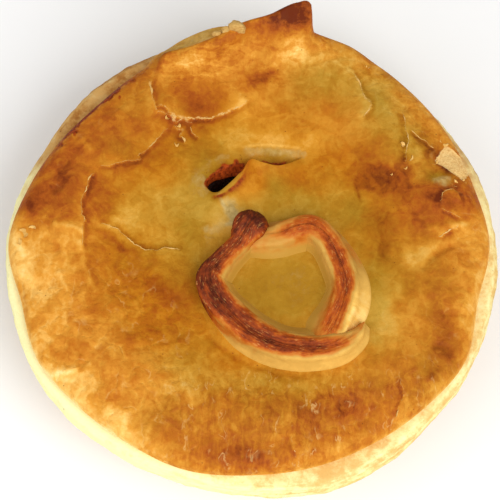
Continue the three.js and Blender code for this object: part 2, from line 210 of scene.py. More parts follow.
# ---- meshes
def skin(name: str, rows: Array, ends: tuple[Array, Array] | None = None) -> bpy.types.Object:
    """A closed mesh over a grid whose columns run round.

    Args:
        name: the object's name.
        rows: the grid's points in mm, as (rows, columns, 3).
        ends: the points that close the first and the last row. Without them the last row joins the first.

    Returns:
        The object, at the origin, with its faces pointing outwards.
    """
    if ends is not None:
        return capped(name, [(rows, ends)])
    number = np.arange(rows.shape[0] * rows.shape[1]).reshape(rows.shape[:2])
    beyond = np.roll(number, -1, axis=1)
    quads = np.stack([number, beyond, np.roll(beyond, -1, axis=0), np.roll(number, -1, axis=0)], axis=-1)
    return solid_object(name, rows.reshape(-1, 3), [quads.reshape(-1, 4)])


def capped(name: str, shells: list[tuple[Array, tuple[Array, Array]]]) -> bpy.types.Object:
    """One object of several grids, each closed on two points.

    Args:
        name: the object's name.
        shells: for each grid its points in mm, as (rows, columns, 3), and the two that close it.

    Returns:
        The object, at the origin, with its faces pointing outwards.
    """
    points: list[Array] = []
    groups: list[Array] = []
    count = 0
    for grid, ends in shells:
        wide = grid.shape[1]
        last = count + grid.shape[0] * wide
        number = np.arange(count, last).reshape(grid.shape[:2])
        beyond = np.roll(number, -1, axis=1)
        quads = np.stack([number[:-1], beyond[:-1], beyond[1:], number[1:]], axis=-1)
        low = np.stack([number[0], np.full(wide, last), beyond[0]], axis=-1)
        high = np.stack([number[-1], beyond[-1], np.full(wide, last + 1)], axis=-1)
        points += [grid.reshape(-1, 3), *ends]
        groups += [quads.reshape(-1, 4), low, high]
        count = last + 2
    return solid_object(name, np.vstack(points), groups)


def middles(grid: Array) -> tuple[Array, Array]:
    """The middles of a grid's first and last row, which close it."""
    return grid[0].mean(axis=0, keepdims=True), grid[-1].mean(axis=0, keepdims=True)


def solid_object(name: str, points: Array, groups: list[Array]) -> bpy.types.Object:
    """An object from points and faces.

    A closed mesh holds the sum of its corner tetrahedra, p . (q x r) / 6. Where that sum is below zero
    the faces point inwards, and all of them are turned round.

    Args:
        name: the object's name.
        points: its points in mm.
        groups: its faces as the numbers of their points, in arrays of faces with as many corners each.

    Returns:
        The object, at the origin, with its faces pointing outwards.
    """
    corners = [group[:, [0, k, k + 1]] for group in groups for k in range(1, group.shape[1] - 1)]
    p, q, r = (points[np.vstack(corners)[:, k]] for k in range(3))
    if np.einsum("ij,ij->", p, np.cross(q, r)) < 0:
        groups = [group[:, ::-1] for group in groups]
    mesh = bpy.data.meshes.new(name)
    mesh.vertices.add(len(points))
    mesh.vertices.foreach_set("co", (points * MM).astype(np.float32).ravel())
    loops = np.concatenate([group.ravel() for group in groups]).astype(np.int32)
    sizes = np.concatenate([np.full(len(group), group.shape[1]) for group in groups])
    mesh.loops.add(len(loops))
    mesh.loops.foreach_set("vertex_index", loops)
    mesh.polygons.add(len(sizes))
    mesh.polygons.foreach_set("loop_start", (np.cumsum(sizes) - sizes).astype(np.int32))
    mesh.polygons.foreach_set("use_smooth", np.ones(len(sizes), dtype=bool))
    mesh.update(calc_edges=True)
    made = bpy.data.objects.new(name, mesh)
    bpy.context.collection.objects.link(made)
    return made


def write_values(piece: bpy.types.Object, **fields: Array) -> None:
    """Stores one number for each vertex under each name. Points that close the ends take the last value.

    Args:
        piece: the object, made by skin.
        fields: for each name, one number for each point of the grid.
    """
    count = len(piece.data.vertices)
    for name, values in fields.items():
        flat = values.reshape(-1)
        padded = np.append(flat, np.full(count - len(flat), flat[-1]))
        layer = piece.data.attributes.new(name, "FLOAT", "POINT")
        layer.data.foreach_set("value", padded.astype(np.float32))


class Slot(Enum):
    """The record's material slots."""

    CASE = "case_pastry"
    LID = "lid_pastry"
    RING = "ring_pastry"
    MINCE = "mince_filling"


def place(piece: bpy.types.Object, finish: bpy.types.Material, slot: Slot, *nodes: str) -> None:
    """Gives a piece its finish and its body, hides the solids that it stands for, and reports it.

    Args:
        piece: the object.
        finish: its material.
        slot: its slot in the record; not used.
        nodes: the nodes that it replaces.
    """
    piece.data.materials.append(finish)
    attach(piece, "root")
    if nodes:
        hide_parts(*nodes)
    log.info("%s: %d faces", piece.name, len(piece.data.polygons))


# ---- finishes
def rgb(red: int, green: int, blue: int) -> Colour:
    """A colour as the shaders hold it, from the eight-bit values that a screen shows.

    Args:
        red, green, blue: from 0 to 255.

    Returns:
        The colour with an alpha of one.
    """
    linear = (((c / 255 + 0.055) / 1.055) ** 2.4 if c > 10 else c / 255 / 12.92 for c in (red, green, blue))
    return (*linear, 1.0)


def stops(*rows: tuple[float, int, int, int]) -> Stops:
    """Colours along a scale, from rows of a place on it and a colour's red, green and blue."""
    return tuple((row[0], rgb(*row[1:])) for row in rows)


class Shader:
    """A material's node tree, with a short call for each kind of node that the finishes use."""

    def __init__(self, name: str, roughness: float = 0.6, specular: float = 0.35) -> None:
        """Starts a tree that holds a principled shader and the output.

        Args:
            name: the material's name.
            roughness: the surface's roughness where no node sets it.
            specular: how strongly the surface mirrors.
        """
        self.material = bpy.data.materials.new(name)
        self.material.use_nodes = True
        self.tree = self.material.node_tree
        self.surface = self.tree.nodes["Principled BSDF"]
        self.surface.inputs["Roughness"].default_value = roughness
        self.surface.inputs["Specular IOR Level"].default_value = specular
        self.where = self.tree.nodes.new("ShaderNodeTexCoord").outputs["Object"]

    def link(self, value: float | Colour | Socket, socket: Socket) -> None:
        """Feeds a socket.

        Args:
            value: another node's output, or a plain value.
            socket: the input that takes it.
        """
        if isinstance(value, bpy.types.NodeSocket):
            self.tree.links.new(value, socket)
        else:
            socket.default_value = value

    def field(self, name: str) -> Socket:
        """The values that write_values stored under a name.

        Args:
            name: the field's name.

        Returns:
            One value for each place.
        """
        node = self.tree.nodes.new("ShaderNodeAttribute")
        node.attribute_name = name
        return node.outputs["Fac"]

    def sum_up(
        self, operation: str, a: float | Socket, b: float | Socket = 0.0, held: bool = False
    ) -> Socket:
        """One step of arithmetic.

        Args:
            operation: the step's name, as the shader editor has it.
            a, b: the two numbers.
            held: whether the result is held between 0 and 1.

        Returns:
            The result.
        """
        node = self.tree.nodes.new("ShaderNodeMath")
        node.operation = operation
        node.use_clamp = held
        self.link(a, node.inputs[0])
        self.link(b, node.inputs[1])
        return node.outputs[0]

    def weigh(self, *terms: tuple[Socket, float], held: bool = False) -> Socket:
        """The sum of values times their weights.

        Args:
            terms: pairs of a value and its weight.
            held: whether the result is held between 0 and 1.

        Returns:
            The sum.
        """
        total: float | Socket = 0.0
        for k, (value, weight) in enumerate(terms):
            part = self.times(value, weight)
            total = self.sum_up("ADD", total, part, held and k == len(terms) - 1)
        return total

    def times(self, a: float | Socket, b: float | Socket, held: bool = False) -> Socket:
        """The product of two values."""
        return self.sum_up("MULTIPLY", a, b, held)

    def spread(self, value: Socket, low: float, high: float, bottom: float = 0.0, top: float = 1.0) -> Socket:
        """Turns one range into another, eased at both ends.

        Args:
            value: what is turned.
            low, high: the values that give bottom and top.
            bottom, top: the results at those values and past them.

        Returns:
            The result.
        """
        node = self.tree.nodes.new("ShaderNodeMapRange")
        node.interpolation_type = "SMOOTHSTEP"
        for socket, number in zip(node.inputs[1:5], (low, high, bottom, top)):
            socket.default_value = number
        self.link(value, node.inputs[0])
        return node.outputs[0]

    def stretched(self, sizes: Sizes, source: Socket | None = None) -> Socket:
        """Places divided by a size along each axis.

        Args:
            sizes: the sizes in mm.
            source: the places, or none for those on the object.

        Returns:
            The places in units of the sizes.
        """
        node = self.tree.nodes.new("ShaderNodeMapping")
        node.inputs["Scale"].default_value = tuple(1 / (size * MM) for size in sizes)
        self.link(source or self.where, node.inputs["Vector"])
        return node.outputs[0]

    def noise(self, size: float, detail: float = 4.0, rough: float = 0.55, source: Socket | None = None,
              warp: float = 0.0) -> Socket:
        """Cloudy noise, from 0 to 1 about 0.5.

        Args:
            size: the clouds' size in mm, where no source is given.
            detail: how many finer octaves there are.
            rough: how strong each octave is beside the one before.
            source: places in units of the clouds' size, as stretched gives them.
            warp: how far the noise pushes itself about.

        Returns:
            The noise.
        """
        node = self.tree.nodes.new("ShaderNodeTexNoise")
        node.inputs["Scale"].default_value = 1.0
        node.inputs["Detail"].default_value = detail
        node.inputs["Roughness"].default_value = rough
        node.inputs["Distortion"].default_value = warp
        self.link(source or self.stretched((size, size, size)), node.inputs["Vector"])
        return node.outputs["Fac"]

    def clouds(self, size: float, detail: float = 4.0, rough: float = 0.6, warp: float = 0.0,
               source: Socket | None = None) -> Socket:
        """The same noise, with the same arguments, about 0 instead of 0.5."""
        return self.sum_up("SUBTRACT", self.noise(size, detail, rough, source, warp), 0.5)

    def creases(self, width: float, source: Socket) -> Socket:
        """Thin lines where cloudy noise crosses its middle value: one on them, zero at width beside them."""
        off = self.sum_up("ABSOLUTE", self.clouds(1.0, 2.0, 0.5, 0.4, source))
        return self.spread(off, 0.0, width, 1.0, 0.0)

    def dots(self, size: float, inner: float, outer: float) -> Socket:
        """Scattered dots: one near the middle of each cell, and zero farther out.

        Args:
            size: the cells' size in mm.
            inner, outer: where a dot begins to fade and where it ends, in units of the cells' size.

        Returns:
            The dots.
        """
        node = self.tree.nodes.new("ShaderNodeTexVoronoi")
        node.inputs["Scale"].default_value = 1.0
        self.link(self.stretched((size, size, size)), node.inputs["Vector"])
        return self.spread(node.outputs["Distance"], inner, outer, 1.0, 0.0)

    def shifted(self, size: float, reach: float) -> Socket:
        """Places pushed about by cloudy noise.

        Args:
            size: the clouds' size in mm.
            reach: twice how far a place moves at most, in mm.

        Returns:
            The places.
        """
        noise = self.tree.nodes.new("ShaderNodeTexNoise")
        noise.inputs["Scale"].default_value = 1.0
        noise.inputs["Detail"].default_value = 3.0
        self.link(self.stretched((size, size, size)), noise.inputs["Vector"])
        push = self.tree.nodes.new("ShaderNodeVectorMath")
        push.operation = "MULTIPLY_ADD"
        self.link(noise.outputs["Color"], push.inputs[0])
        push.inputs[1].default_value = (reach * MM,) * 3
        self.link(self.where, push.inputs[2])
        return push.outputs[0]

    def ramp(self, factor: Socket, stops: Stops) -> Socket:
        """Colours along a scale.

        Args:
            factor: the place on the scale, from 0 to 1.
            stops: places on the scale and their colours.

        Returns:
            The colour.
        """
        node = self.tree.nodes.new("ShaderNodeValToRGB")
        while len(node.color_ramp.elements) < len(stops):
            node.color_ramp.elements.new(1.0)
        for element, (position, colour) in zip(node.color_ramp.elements, stops):
            element.position = position
            element.color = colour
        self.link(factor, node.inputs["Fac"])
        return node.outputs["Color"]

    def mix(self, factor: float | Socket, a: Colour | Socket, b: Colour | Socket) -> Socket:
        """A colour between two others.

        Args:
            factor: how far from a to b it lies.
            a, b: the colours at factors 0 and 1.

        Returns:
            The colour.
        """
        node = self.tree.nodes.new("ShaderNodeMix")
        node.data_type = "RGBA"
        self.link(factor, node.inputs[0])
        self.link(a, node.inputs[6])
        self.link(b, node.inputs[7])
        return node.outputs[2]

    def bump(self, height: Socket, depth: float, below: Socket | None = None) -> Socket:
        """Fine relief.

        Args:
            height: the relief, where 1 stands for the whole depth.
            depth: its depth in mm.
            below: the relief that it lies on.

        Returns:
            The normal.
        """
        node = self.tree.nodes.new("ShaderNodeBump")
        node.inputs["Distance"].default_value = depth * MM
        self.link(height, node.inputs["Height"])
        if below is not None:
            self.link(below, node.inputs["Normal"])
        return node.outputs["Normal"]

    def finish(self, colour: Socket, normal: Socket, roughness: Socket | None = None) -> bpy.types.Material:
        """Feeds the surface.

        Args:
            colour: its base colour.
            normal: its normal.
            roughness: its roughness, or none for the one given at the start.

        Returns:
            The material.
        """
        self.link(colour, self.surface.inputs["Base Color"])
        self.link(normal, self.surface.inputs["Normal"])
        if roughness is not None:
            self.link(roughness, self.surface.inputs["Roughness"])
        return self.material


@dataclass(frozen=True)
class LidFinish:
    """Glazed puff pastry, from pale butter colour to red-brown, olive where it is thin and soft.

    The fields that Lid.fields makes lie on the mesh, and noise breaks each of them up before it is used.
    Sizes are in mm, and three of them are those along X, Y and Z.
    """

    golden: Stops = stops(
        (0.0, 255, 216, 128), (0.2, 236, 176, 80), (0.4, 206, 139, 38), (0.6, 182, 110, 18),
        (0.8, 157, 78, 15), (1.0, 102, 40, 12),
    )
    rolled: Stops = stops(
        (0.0, 255, 226, 150), (0.2, 244, 189, 98), (0.4, 217, 146, 50), (0.6, 190, 112, 29),
        (0.8, 162, 80, 24), (1.0, 106, 42, 16),
    )
    olive: Stops = stops(
        (0.0, 222, 186, 104), (0.3, 192, 150, 58), (0.55, 168, 123, 32), (0.8, 142, 94, 14),
        (1.0, 100, 56, 8),
    )
    crumb: Stops = stops((0.3, 216, 164, 92), (0.62, 250, 214, 142))
    cream: Stops = stops((0.35, 174, 142, 78), (0.65, 208, 178, 112))
    stain: Stops = stops((0.3, 86, 26, 8), (0.65, 166, 68, 20))
    speck: Colour = rgb(112, 54, 20)
    push: float = 3.0
    cloud_size: float = 8.0
    blot_size: float = 4.6
    patch_size: float = 2.8
    plate_size: float = 1.8
    mottle_size: float = 0.9
    grain_size: float = 0.3
    weave_sizes: Sizes = (0.6, 5.0, 4.0)
    puff_sizes: Sizes = (4.4, 5.4, 4.4)
    curtain_sizes: Sizes = (1.3, 9.0, 6.0)
    streak_sizes: Sizes = (12.0, 1.0, 1.0)
    fold_sizes: Sizes = (2.6, 9.0, 5.0)
    pore_pitch: float = 2.2

    def build(self) -> bpy.types.Material:
        """Makes the material: its bake, then its colours from below upwards, then its relief.

        Returns:
            The material.
        """
        s = Shader("glazed_puff_pastry", specular=0.05)
        pushed = s.shifted(self.push, self.push)
        mottle = s.clouds(self.mottle_size)
        patches = s.clouds(self.patch_size, 3.0, 0.5, 0.8)
        billow = s.sum_up("ABSOLUTE", s.clouds(1.0, 1.5, 0.5, 0.3, s.stretched(self.puff_sizes, pushed)))
        curtains = s.clouds(1.0, 3.0, 0.6, 0.3, s.stretched(self.curtain_sizes, pushed))
        curtains = s.times(curtains, s.field("drape"))
        streaks = s.clouds(1.0, 3.0, 0.6, 0.0, s.stretched(self.streak_sizes, pushed))
        uneven = s.weigh(
            (s.clouds(self.cloud_size, 3.0), 0.3),
            (s.spread(s.noise(self.blot_size, 4.0, 0.5, warp=0.8), 0.44, 0.56, -0.5, 0.5), 0.12),
            (s.spread(s.noise(self.plate_size, 4.0, 0.6, warp=0.5), 0.45, 0.55, -0.5, 0.5), 0.05),
            (patches, 0.34),
            (mottle, 0.2),
            (s.clouds(self.grain_size, 2.0), 0.1),
            (s.clouds(1.0, 3.0, 0.6, 0.0, s.stretched(self.weave_sizes)), 0.1),
        )
        bake = s.weigh(
            (s.field("bake"), 1.0),
            (s.times(uneven, s.field("rough")), 1.0),
            (s.times(s.sum_up("SUBTRACT", billow, 0.08), s.field("puff")), 0.5),
            (curtains, 0.5),
            (s.times(streaks, s.field("streak")), 0.6),
            held=True,
        )

        # Golden inside and rolled at the rim, and olive where that field says so.
        olive = s.weigh((s.field("olive"), 1.0), (s.clouds(5.0), -0.5), (patches, -0.4), held=True)
        colour = s.mix(s.field("outer"), s.ramp(bake, self.golden), s.ramp(bake, self.rolled))
        colour = s.mix(olive, colour, s.ramp(bake, self.olive))

        # Pale broken veins between the puffs and along the bottom's folds, and small dark pores.
        valleys = s.times(s.spread(billow, 0.0, 0.04, 1.0, 0.0), s.field("puff"))
        folds = s.creases(0.03, s.stretched(self.fold_sizes, pushed))
        veins = s.sum_up("MAXIMUM", s.times(valleys, 0.5), s.times(folds, s.field("drape")))
        veins = s.times(veins, s.spread(s.noise(4.0, 2.0), 0.5, 0.66), held=True)
        crumb = s.ramp(s.noise(0.5, 4.0, 0.7), self.crumb)
        colour = s.mix(s.times(veins, 0.4), colour, crumb)
        pores = s.times(s.dots(self.pore_pitch, 0.045, 0.1), s.spread(s.noise(6.0, 2.0), 0.5, 0.6))
        colour = s.mix(s.times(pores, 0.7), colour, self.speck)

        # Cream patches, torn pale layers with a painted highlight on the flakes' raised edges, and gravy,
        # where their fields say so.
        cream = s.weigh((s.field("cream"), 1.0), (mottle, 0.4), (patches, 0.4))
        colour = s.mix(s.spread(cream, 0.15, 0.8), colour, s.ramp(s.noise(1.4, 4.0), self.cream))
        pale = s.spread(s.weigh((s.field("pale"), 1.0), (mottle, 1.0)), 0.35, 0.7)
        colour = s.mix(s.times(pale, 0.8), colour, crumb)
        gravy = s.weigh((s.field("gravy"), 1.0), (mottle, 0.5), (patches, 0.4))
        colour = s.mix(s.spread(gravy, 0.2, 0.8), colour, s.ramp(s.noise(0.8, 4.0), self.stain))

        # The puffs, the patches, the curtains and a fine grain, each over the one before.
        swollen = s.times(s.times(billow, 6.0, held=True), s.field("puff"))
        normal = s.bump(swollen, 0.2)
        normal = s.bump(s.times(patches, s.field("rough")), 0.5, normal)
        normal = s.bump(curtains, 0.3, normal)
        normal = s.bump(s.noise(self.grain_size, 3.0, 0.6), 0.05, normal)
        return s.finish(colour, normal, s.spread(bake, 0.2, 0.9, 0.62, 0.46))


@dataclass(frozen=True)
class CaseFinish:
    """Short pastry, pale on the puffed band, golden where it lay on the tin, browned at its corner and base.

    Sizes are in mm, and three of them are those along X, Y and Z.
    """

    pale: Stops = stops((0.0, 226, 184, 108), (0.4, 246, 222, 152), (1.0, 255, 248, 186))
    toasted: Stops = stops((0.0, 150, 88, 34), (0.5, 184, 126, 60), (1.0, 214, 166, 96))
    speck: Colour = rgb(112, 58, 26)
    stain: Colour = rgb(112, 44, 20)
    fine_size: float = 0.8
    layer_sizes: Sizes = (9.0, 9.0, 0.8)
    speck_pitch: float = 3.2

    def build(self) -> bpy.types.Material:
        """Makes the material.

        Returns:
            The material.
        """
        s = Shader("case_pastry", roughness=0.72, specular=0.1)
        fine = s.clouds(self.fine_size, 4.0, 0.65)
        layers = s.noise(1.0, 4.0, 0.6, s.stretched(self.layer_sizes))
        # The lift field paints light and shade into the band's tone: lighter at the lower left, darker at the
        # right.
        tone = s.weigh((layers, 0.6), (s.noise(2.6, 4.0), 0.4), (fine, 0.3), (s.field("lift"), 1.0))
        tone = s.spread(tone, 0.28, 0.66)
        toast = s.weigh((s.field("toast"), 1.0), (s.clouds(5.0), 1.0), (fine, 0.5))
        toast = s.spread(toast, 0.1, 0.9)
        colour = s.mix(toast, s.ramp(tone, self.pale), s.ramp(tone, self.toasted))
        specks = s.dots(self.speck_pitch, 0.03, 0.08)
        specks = s.times(specks, s.spread(s.noise(7.0, 2.0), 0.5, 0.58))
        colour = s.mix(specks, colour, self.speck)
        gravy = s.spread(s.weigh((s.field("gravy"), 1.0), (fine, 0.9)), 0.35, 0.7)
        colour = s.mix(gravy, colour, self.stain)
        normal = s.bump(layers, 0.4)
        normal = s.bump(s.noise(0.7, 4.0, 0.65), 0.16, normal)
        return s.finish(colour, normal)


@dataclass(frozen=True)
class RingFinish:
    """A strip of pastry whose crest has baked red-brown, with fine pale streaks, and whose sides are golden.

    The fields run and across are lengths in mm along the strand and over it, bake colours it from its
    crest to its foot, foot turns its lowest part olive, as painted shade on the inner walls and a blend
    into the lid outside, and pleat is one where short folds cross its side. The lines' sizes are in mm
    too, along the strand and across it.
    """

    bake: Stops = stops(
        (0.0, 252, 214, 130), (0.14, 234, 184, 90), (0.3, 203, 156, 72), (0.44, 200, 120, 40),
        (0.6, 182, 84, 18), (0.8, 138, 56, 18), (1.0, 80, 28, 10),
    )
    olive: Colour = rgb(188, 142, 56)
    fleck: Colour = rgb(222, 156, 84)
    streak_sizes: tuple[float, float] = (3.2, 0.5)
    fleck_sizes: tuple[float, float] = (1.4, 0.28)
    pleat_sizes: tuple[float, float] = (0.9, 4.0)

    def lines(self, s: Shader, sizes: tuple[float, float]) -> Socket:
        """Places on the strand, in units of a size along it and one across it.

        Args:
            s: the material's nodes.
            sizes: the sizes in mm.

        Returns:
            The places.
        """
        joined = s.tree.nodes.new("ShaderNodeCombineXYZ")
        s.link(s.field("run"), joined.inputs[0])
        s.link(s.field("across"), joined.inputs[1])
        return s.stretched((sizes[0] / MM, sizes[1] / MM, 1.0), joined.outputs[0])

    def build(self) -> bpy.types.Material:
        """Makes the material.

        Returns:
            The material.
        """
        s = Shader("ring_pastry", roughness=0.5, specular=0.14)
        crest = s.spread(s.field("bake"), 0.36, 0.6)
        streaks = s.times(s.clouds(1.0, 4.0, 0.6, 0.0, self.lines(s, self.streak_sizes)), crest)
        pleats = s.times(s.clouds(1.0, 3.0, 0.6, 0.4, self.lines(s, self.pleat_sizes)), s.field("pleat"))
        bake = s.weigh(
            (s.field("bake"), 1.0),
            (s.clouds(3.0, 3.0, 0.5, 0.5), 0.3),
            (s.times(s.clouds(1.6, 4.0, 0.6), crest), 0.5),
            (streaks, 0.6),
            (pleats, 0.3),
            held=True,
        )
        colour = s.ramp(bake, self.bake)
        # Olive at the foot: painted shade low on the inner walls, and a blend into the lid's olive on the
        # outer side.
        foot = s.spread(s.weigh((s.field("foot"), 1.0), (s.clouds(2.0), 0.3)), 0.1, 1.0)
        colour = s.mix(foot, colour, self.olive)
        flecks = s.spread(s.noise(1.0, 3.0, 0.6, self.lines(s, self.fleck_sizes)), 0.57, 0.66)
        flecks = s.times(flecks, s.spread(s.noise(2.4, 3.0), 0.38, 0.56))
        flecks = s.times(flecks, crest)
        colour = s.mix(s.times(flecks, 0.6), colour, self.fleck)
        grain = s.times(s.noise(0.5, 4.0, 0.6), s.spread(crest, 0.0, 1.0, 0.2, 1.0))
        return s.finish(colour, s.bump(grain, 0.14, s.bump(streaks, 0.3)))


@dataclass(frozen=True)
class MinceFinish:
    """Dark wet mince in gravy."""

    meat: Stops = stops((0.3, 24, 7, 3), (0.6, 66, 26, 12), (0.8, 104, 52, 24))

    def build(self) -> bpy.types.Material:
        """Makes the material.

        Returns:
            The material.
        """
        s = Shader("mince_in_gravy", specular=0.16)
        lumps = s.noise(2.2, 5.0, 0.6)
        colour = s.ramp(lumps, self.meat)
        normal = s.bump(s.noise(0.9, 4.0), 0.5)
        return s.finish(colour, normal, s.spread(lumps, 0.3, 0.7, 0.4, 0.6))


@dataclass(frozen=True)
class CrumbFinish:
    """The torn inner layers of puff pastry: cream to golden, dry and fibrous."""

    name: str
    crumb: Stops = stops((0.25, 196, 144, 74), (0.5, 226, 180, 104), (0.75, 250, 216, 150))

    def build(self) -> bpy.types.Material:
        """Makes the material.

        Returns:
            The material.
        """
        s = Shader(self.name, roughness=0.7, specular=0.12)
        tone = s.weigh((s.noise(0.6, 5.0, 0.7), 0.6), (s.noise(3.0, 2.0), 0.4))
        return s.finish(s.ramp(tone, self.crumb), s.bump(s.noise(0.6, 5.0, 0.7), 0.2))


# ---- the case
@dataclass
class Case:
    """The pale bottom crust, a turned shell with a puffed and layered band under the lid's edge."""

    radius: float = 60.0
    base_radius: float = 46.0
    height: float = 30.0
    crust: float = 4.0
    flange: float = 5.6
    band_bottom: float = 19.0
    puff: float = 1.8
    puff_rise: float = 4.0
    layer_depth: float = 0.35
    layer_pitch: float = 2.6
    offsets: tuple[float, ...] = (
        0.6, 0.7, -0.4, -0.6, 0.5, 0.3, 0, -1.6, -0.4, -0.5, -1.7, -0.6,
        0.2, 0.1, 0.4, 0.2, -0.2, -0.1, 0.4, 2.2, 2.0, 0.8, 1.0, 0.6,
    )
    heel: float = 1.8
    heel_width: float = 1.7
    heel_height: float = 1.4
    wall_start: float = 2.2
    shoulder_drop: float = 0.9
    shoulder_start: float = 0.5
    shoulder_reach: float = 1.1
    columns: int = 720
    base_rows: int = 12
    heel_rows: int = 6
    wall_rows: int = 24
    band_rows: int = 64
    shoulder_rows: int = 8

    def widest(self, azimuth: Array) -> Array:
        """The radius at the band for each azimuth in degrees."""
        return self.radius + around(np.array(self.offsets, float), azimuth)

    def inner(self, azimuth: Array) -> Array:
        """The flange's inner radius for each azimuth in degrees."""
        return self.widest(azimuth) - (self.shoulder_start + self.shoulder_reach) - self.flange

    def profile(self, azimuth: Array) -> tuple[Array, Array]:
        """The section, from the base's middle over the outside to the middle of the inside.

        The band's radius adds an eased puff and a sine of the height, the edges of the layers, whose phase
        wanders with azimuth.

        Args:
            azimuth: each column's, in degrees.

        Returns:
            Radius and height, each as (rows, columns).
        """
        turn = np.radians(azimuth)
        wide = self.widest(azimuth)
        inner = self.inner(azimuth)
        foot = self.base_radius
        taper_top = wide - self.puff
        slope = (taper_top - foot) / self.band_bottom
        wander = 0.8 * np.sin(3 * turn) + 0.5 * np.sin(7 * turn + math.radians(40))
        rim_bottom = self.height - self.shoulder_drop
        table: list[tuple[Array | float, Array | float]] = []
        for r in np.linspace(3, foot - self.heel, self.base_rows):
            table.append((r, 0.0))
        for bend in np.radians(np.linspace(0, 90, self.heel_rows)[1:]):
            out = self.heel_width * math.sin(bend)
            table.append((foot - self.heel + out, self.heel_height * (1 - math.cos(bend))))
        for z in np.linspace(self.wall_start, self.band_bottom - 1, self.wall_rows):
            table.append((foot + slope * z, z))
        for z in np.linspace(self.band_bottom, rim_bottom, self.band_rows):
            swell = self.puff * ease(z, self.band_bottom - 1, self.band_bottom + self.puff_rise)
            ledge = self.layer_depth * np.sin(2 * math.pi * z / self.layer_pitch + 1 + wander)
            table.append((taper_top + swell - self.layer_depth + ledge, z))
        shares = np.linspace(0, 1, self.shoulder_rows)[1:]
        for share in shares:
            back = self.shoulder_start + self.shoulder_reach * share
            table.append((wide - back, rim_bottom + self.shoulder_drop * math.sqrt(share)))
        rim = wide - (self.shoulder_start + self.shoulder_reach)
        for share in shares:
            table.append((rim - self.flange * share, self.height))
        table.append((inner - 0.8, self.height - 1.2))
        table.append((inner - 8, 13.0))
        table.append((foot - self.crust + 1, self.crust + 1.5))
        for r in np.linspace(foot - self.crust - 1, 4, 3):
            table.append((r, self.crust))
        radius = np.array([r + 0 * turn for r, _ in table])
        height = np.array([z + 0 * turn for _, z in table])
        return radius, height

    def build(self, lid: "Lid", finish: bpy.types.Material) -> bpy.types.Object:
        """Builds the shell and its fields. Noise in space moves each point of the outside along its radius.

        Args:
            lid: the lid, whose edge stains the flange.
            finish: the case's material.

        Returns:
            The piece.
        """
        azimuth = np.arange(self.columns) * 360 / self.columns
        turn = np.radians(azimuth)
        radius, height = self.profile(azimuth)
        rows = np.stack([radius * np.cos(turn), radius * np.sin(turn), height], axis=-1)
        outside = ease(height, 0.2, 2.5) * (radius > self.inner(azimuth) + 0.5)
        in_band = ease(height, self.band_bottom - 2, self.band_bottom + 3)
        rough = 0.3 * fractal(rows, (7.0, 7.0, 1.6), 11) * in_band + 0.12 * fractal(rows, 2.2, 12)
        rough += 0.25 * fractal(rows, 9.0, 13)
        radius = radius + outside * (rough - 0.15 * in_band)
        rows = np.stack([radius * np.cos(turn), radius * np.sin(turn), height], axis=-1)
        piece = skin("case", rows, (np.array([[0, 0, 0.0]]), np.array([[0, 0, self.crust]])))
        write_values(piece, **self.fields(rows, azimuth, in_band, lid))
        place(piece, finish, Slot.CASE, "case")
        return piece

    def fields(self, rows: Array, azimuth: Array, in_band: Array, lid: "Lid") -> dict[str, Array]:
        """How toasted and how stained each point is, and the painted light and shade on the band.

        The band is pale, and darker only at the far left, where the lid is set back: toasted there, and
        partly painted shade. The wall is golden and browns towards its foot. The flange is stained along the
        lid's edge at the far left.

        Args:
            rows: the points, as (rows, columns, 3).
            azimuth: each column's, in degrees.
            in_band: one on the band and zero on the wall.
            lid: the lid, whose edge stains the flange.

        Returns:
            The fields by name.
        """
        height = rows[..., 2]
        turned = azimuth % 360
        far_left = ease(turned, 96, 122) * ease(turned, 172, 146)
        right = bell((azimuth + 180) % 360 - 180 + 5, 40)
        lower_left = bell(turned - 208, 50)
        lower_right = bell(turned - 300, 28)
        far_right = bell(turned - 26, 14)
        toast = 0.62 * (1 - in_band) + 0.25 * ease(height, 8, 1)
        # At the far left the band's darker colour is toast and partly painted shade.
        toast = toast + (0.85 * far_left + 0.5 * far_right + 0.06 * right) * in_band
        # lift is painted light and shade: lighter at the lower left of the band, darker to the right and
        # lower right.
        lift = (0.22 * lower_left - 0.04 * right - 0.1 * lower_right) * in_band
        seam = bell(np.hypot(rows[..., 0], rows[..., 1]) - lid.edge(azimuth) - 0.3, 0.7)
        seam = seam * ease(turned, 116, 124) * ease(turned, 158, 148)
        gravy = seam * ease(height, self.height - 1, self.height - 0.1)
        return {"toast": toast, "lift": lift, "gravy": gravy}


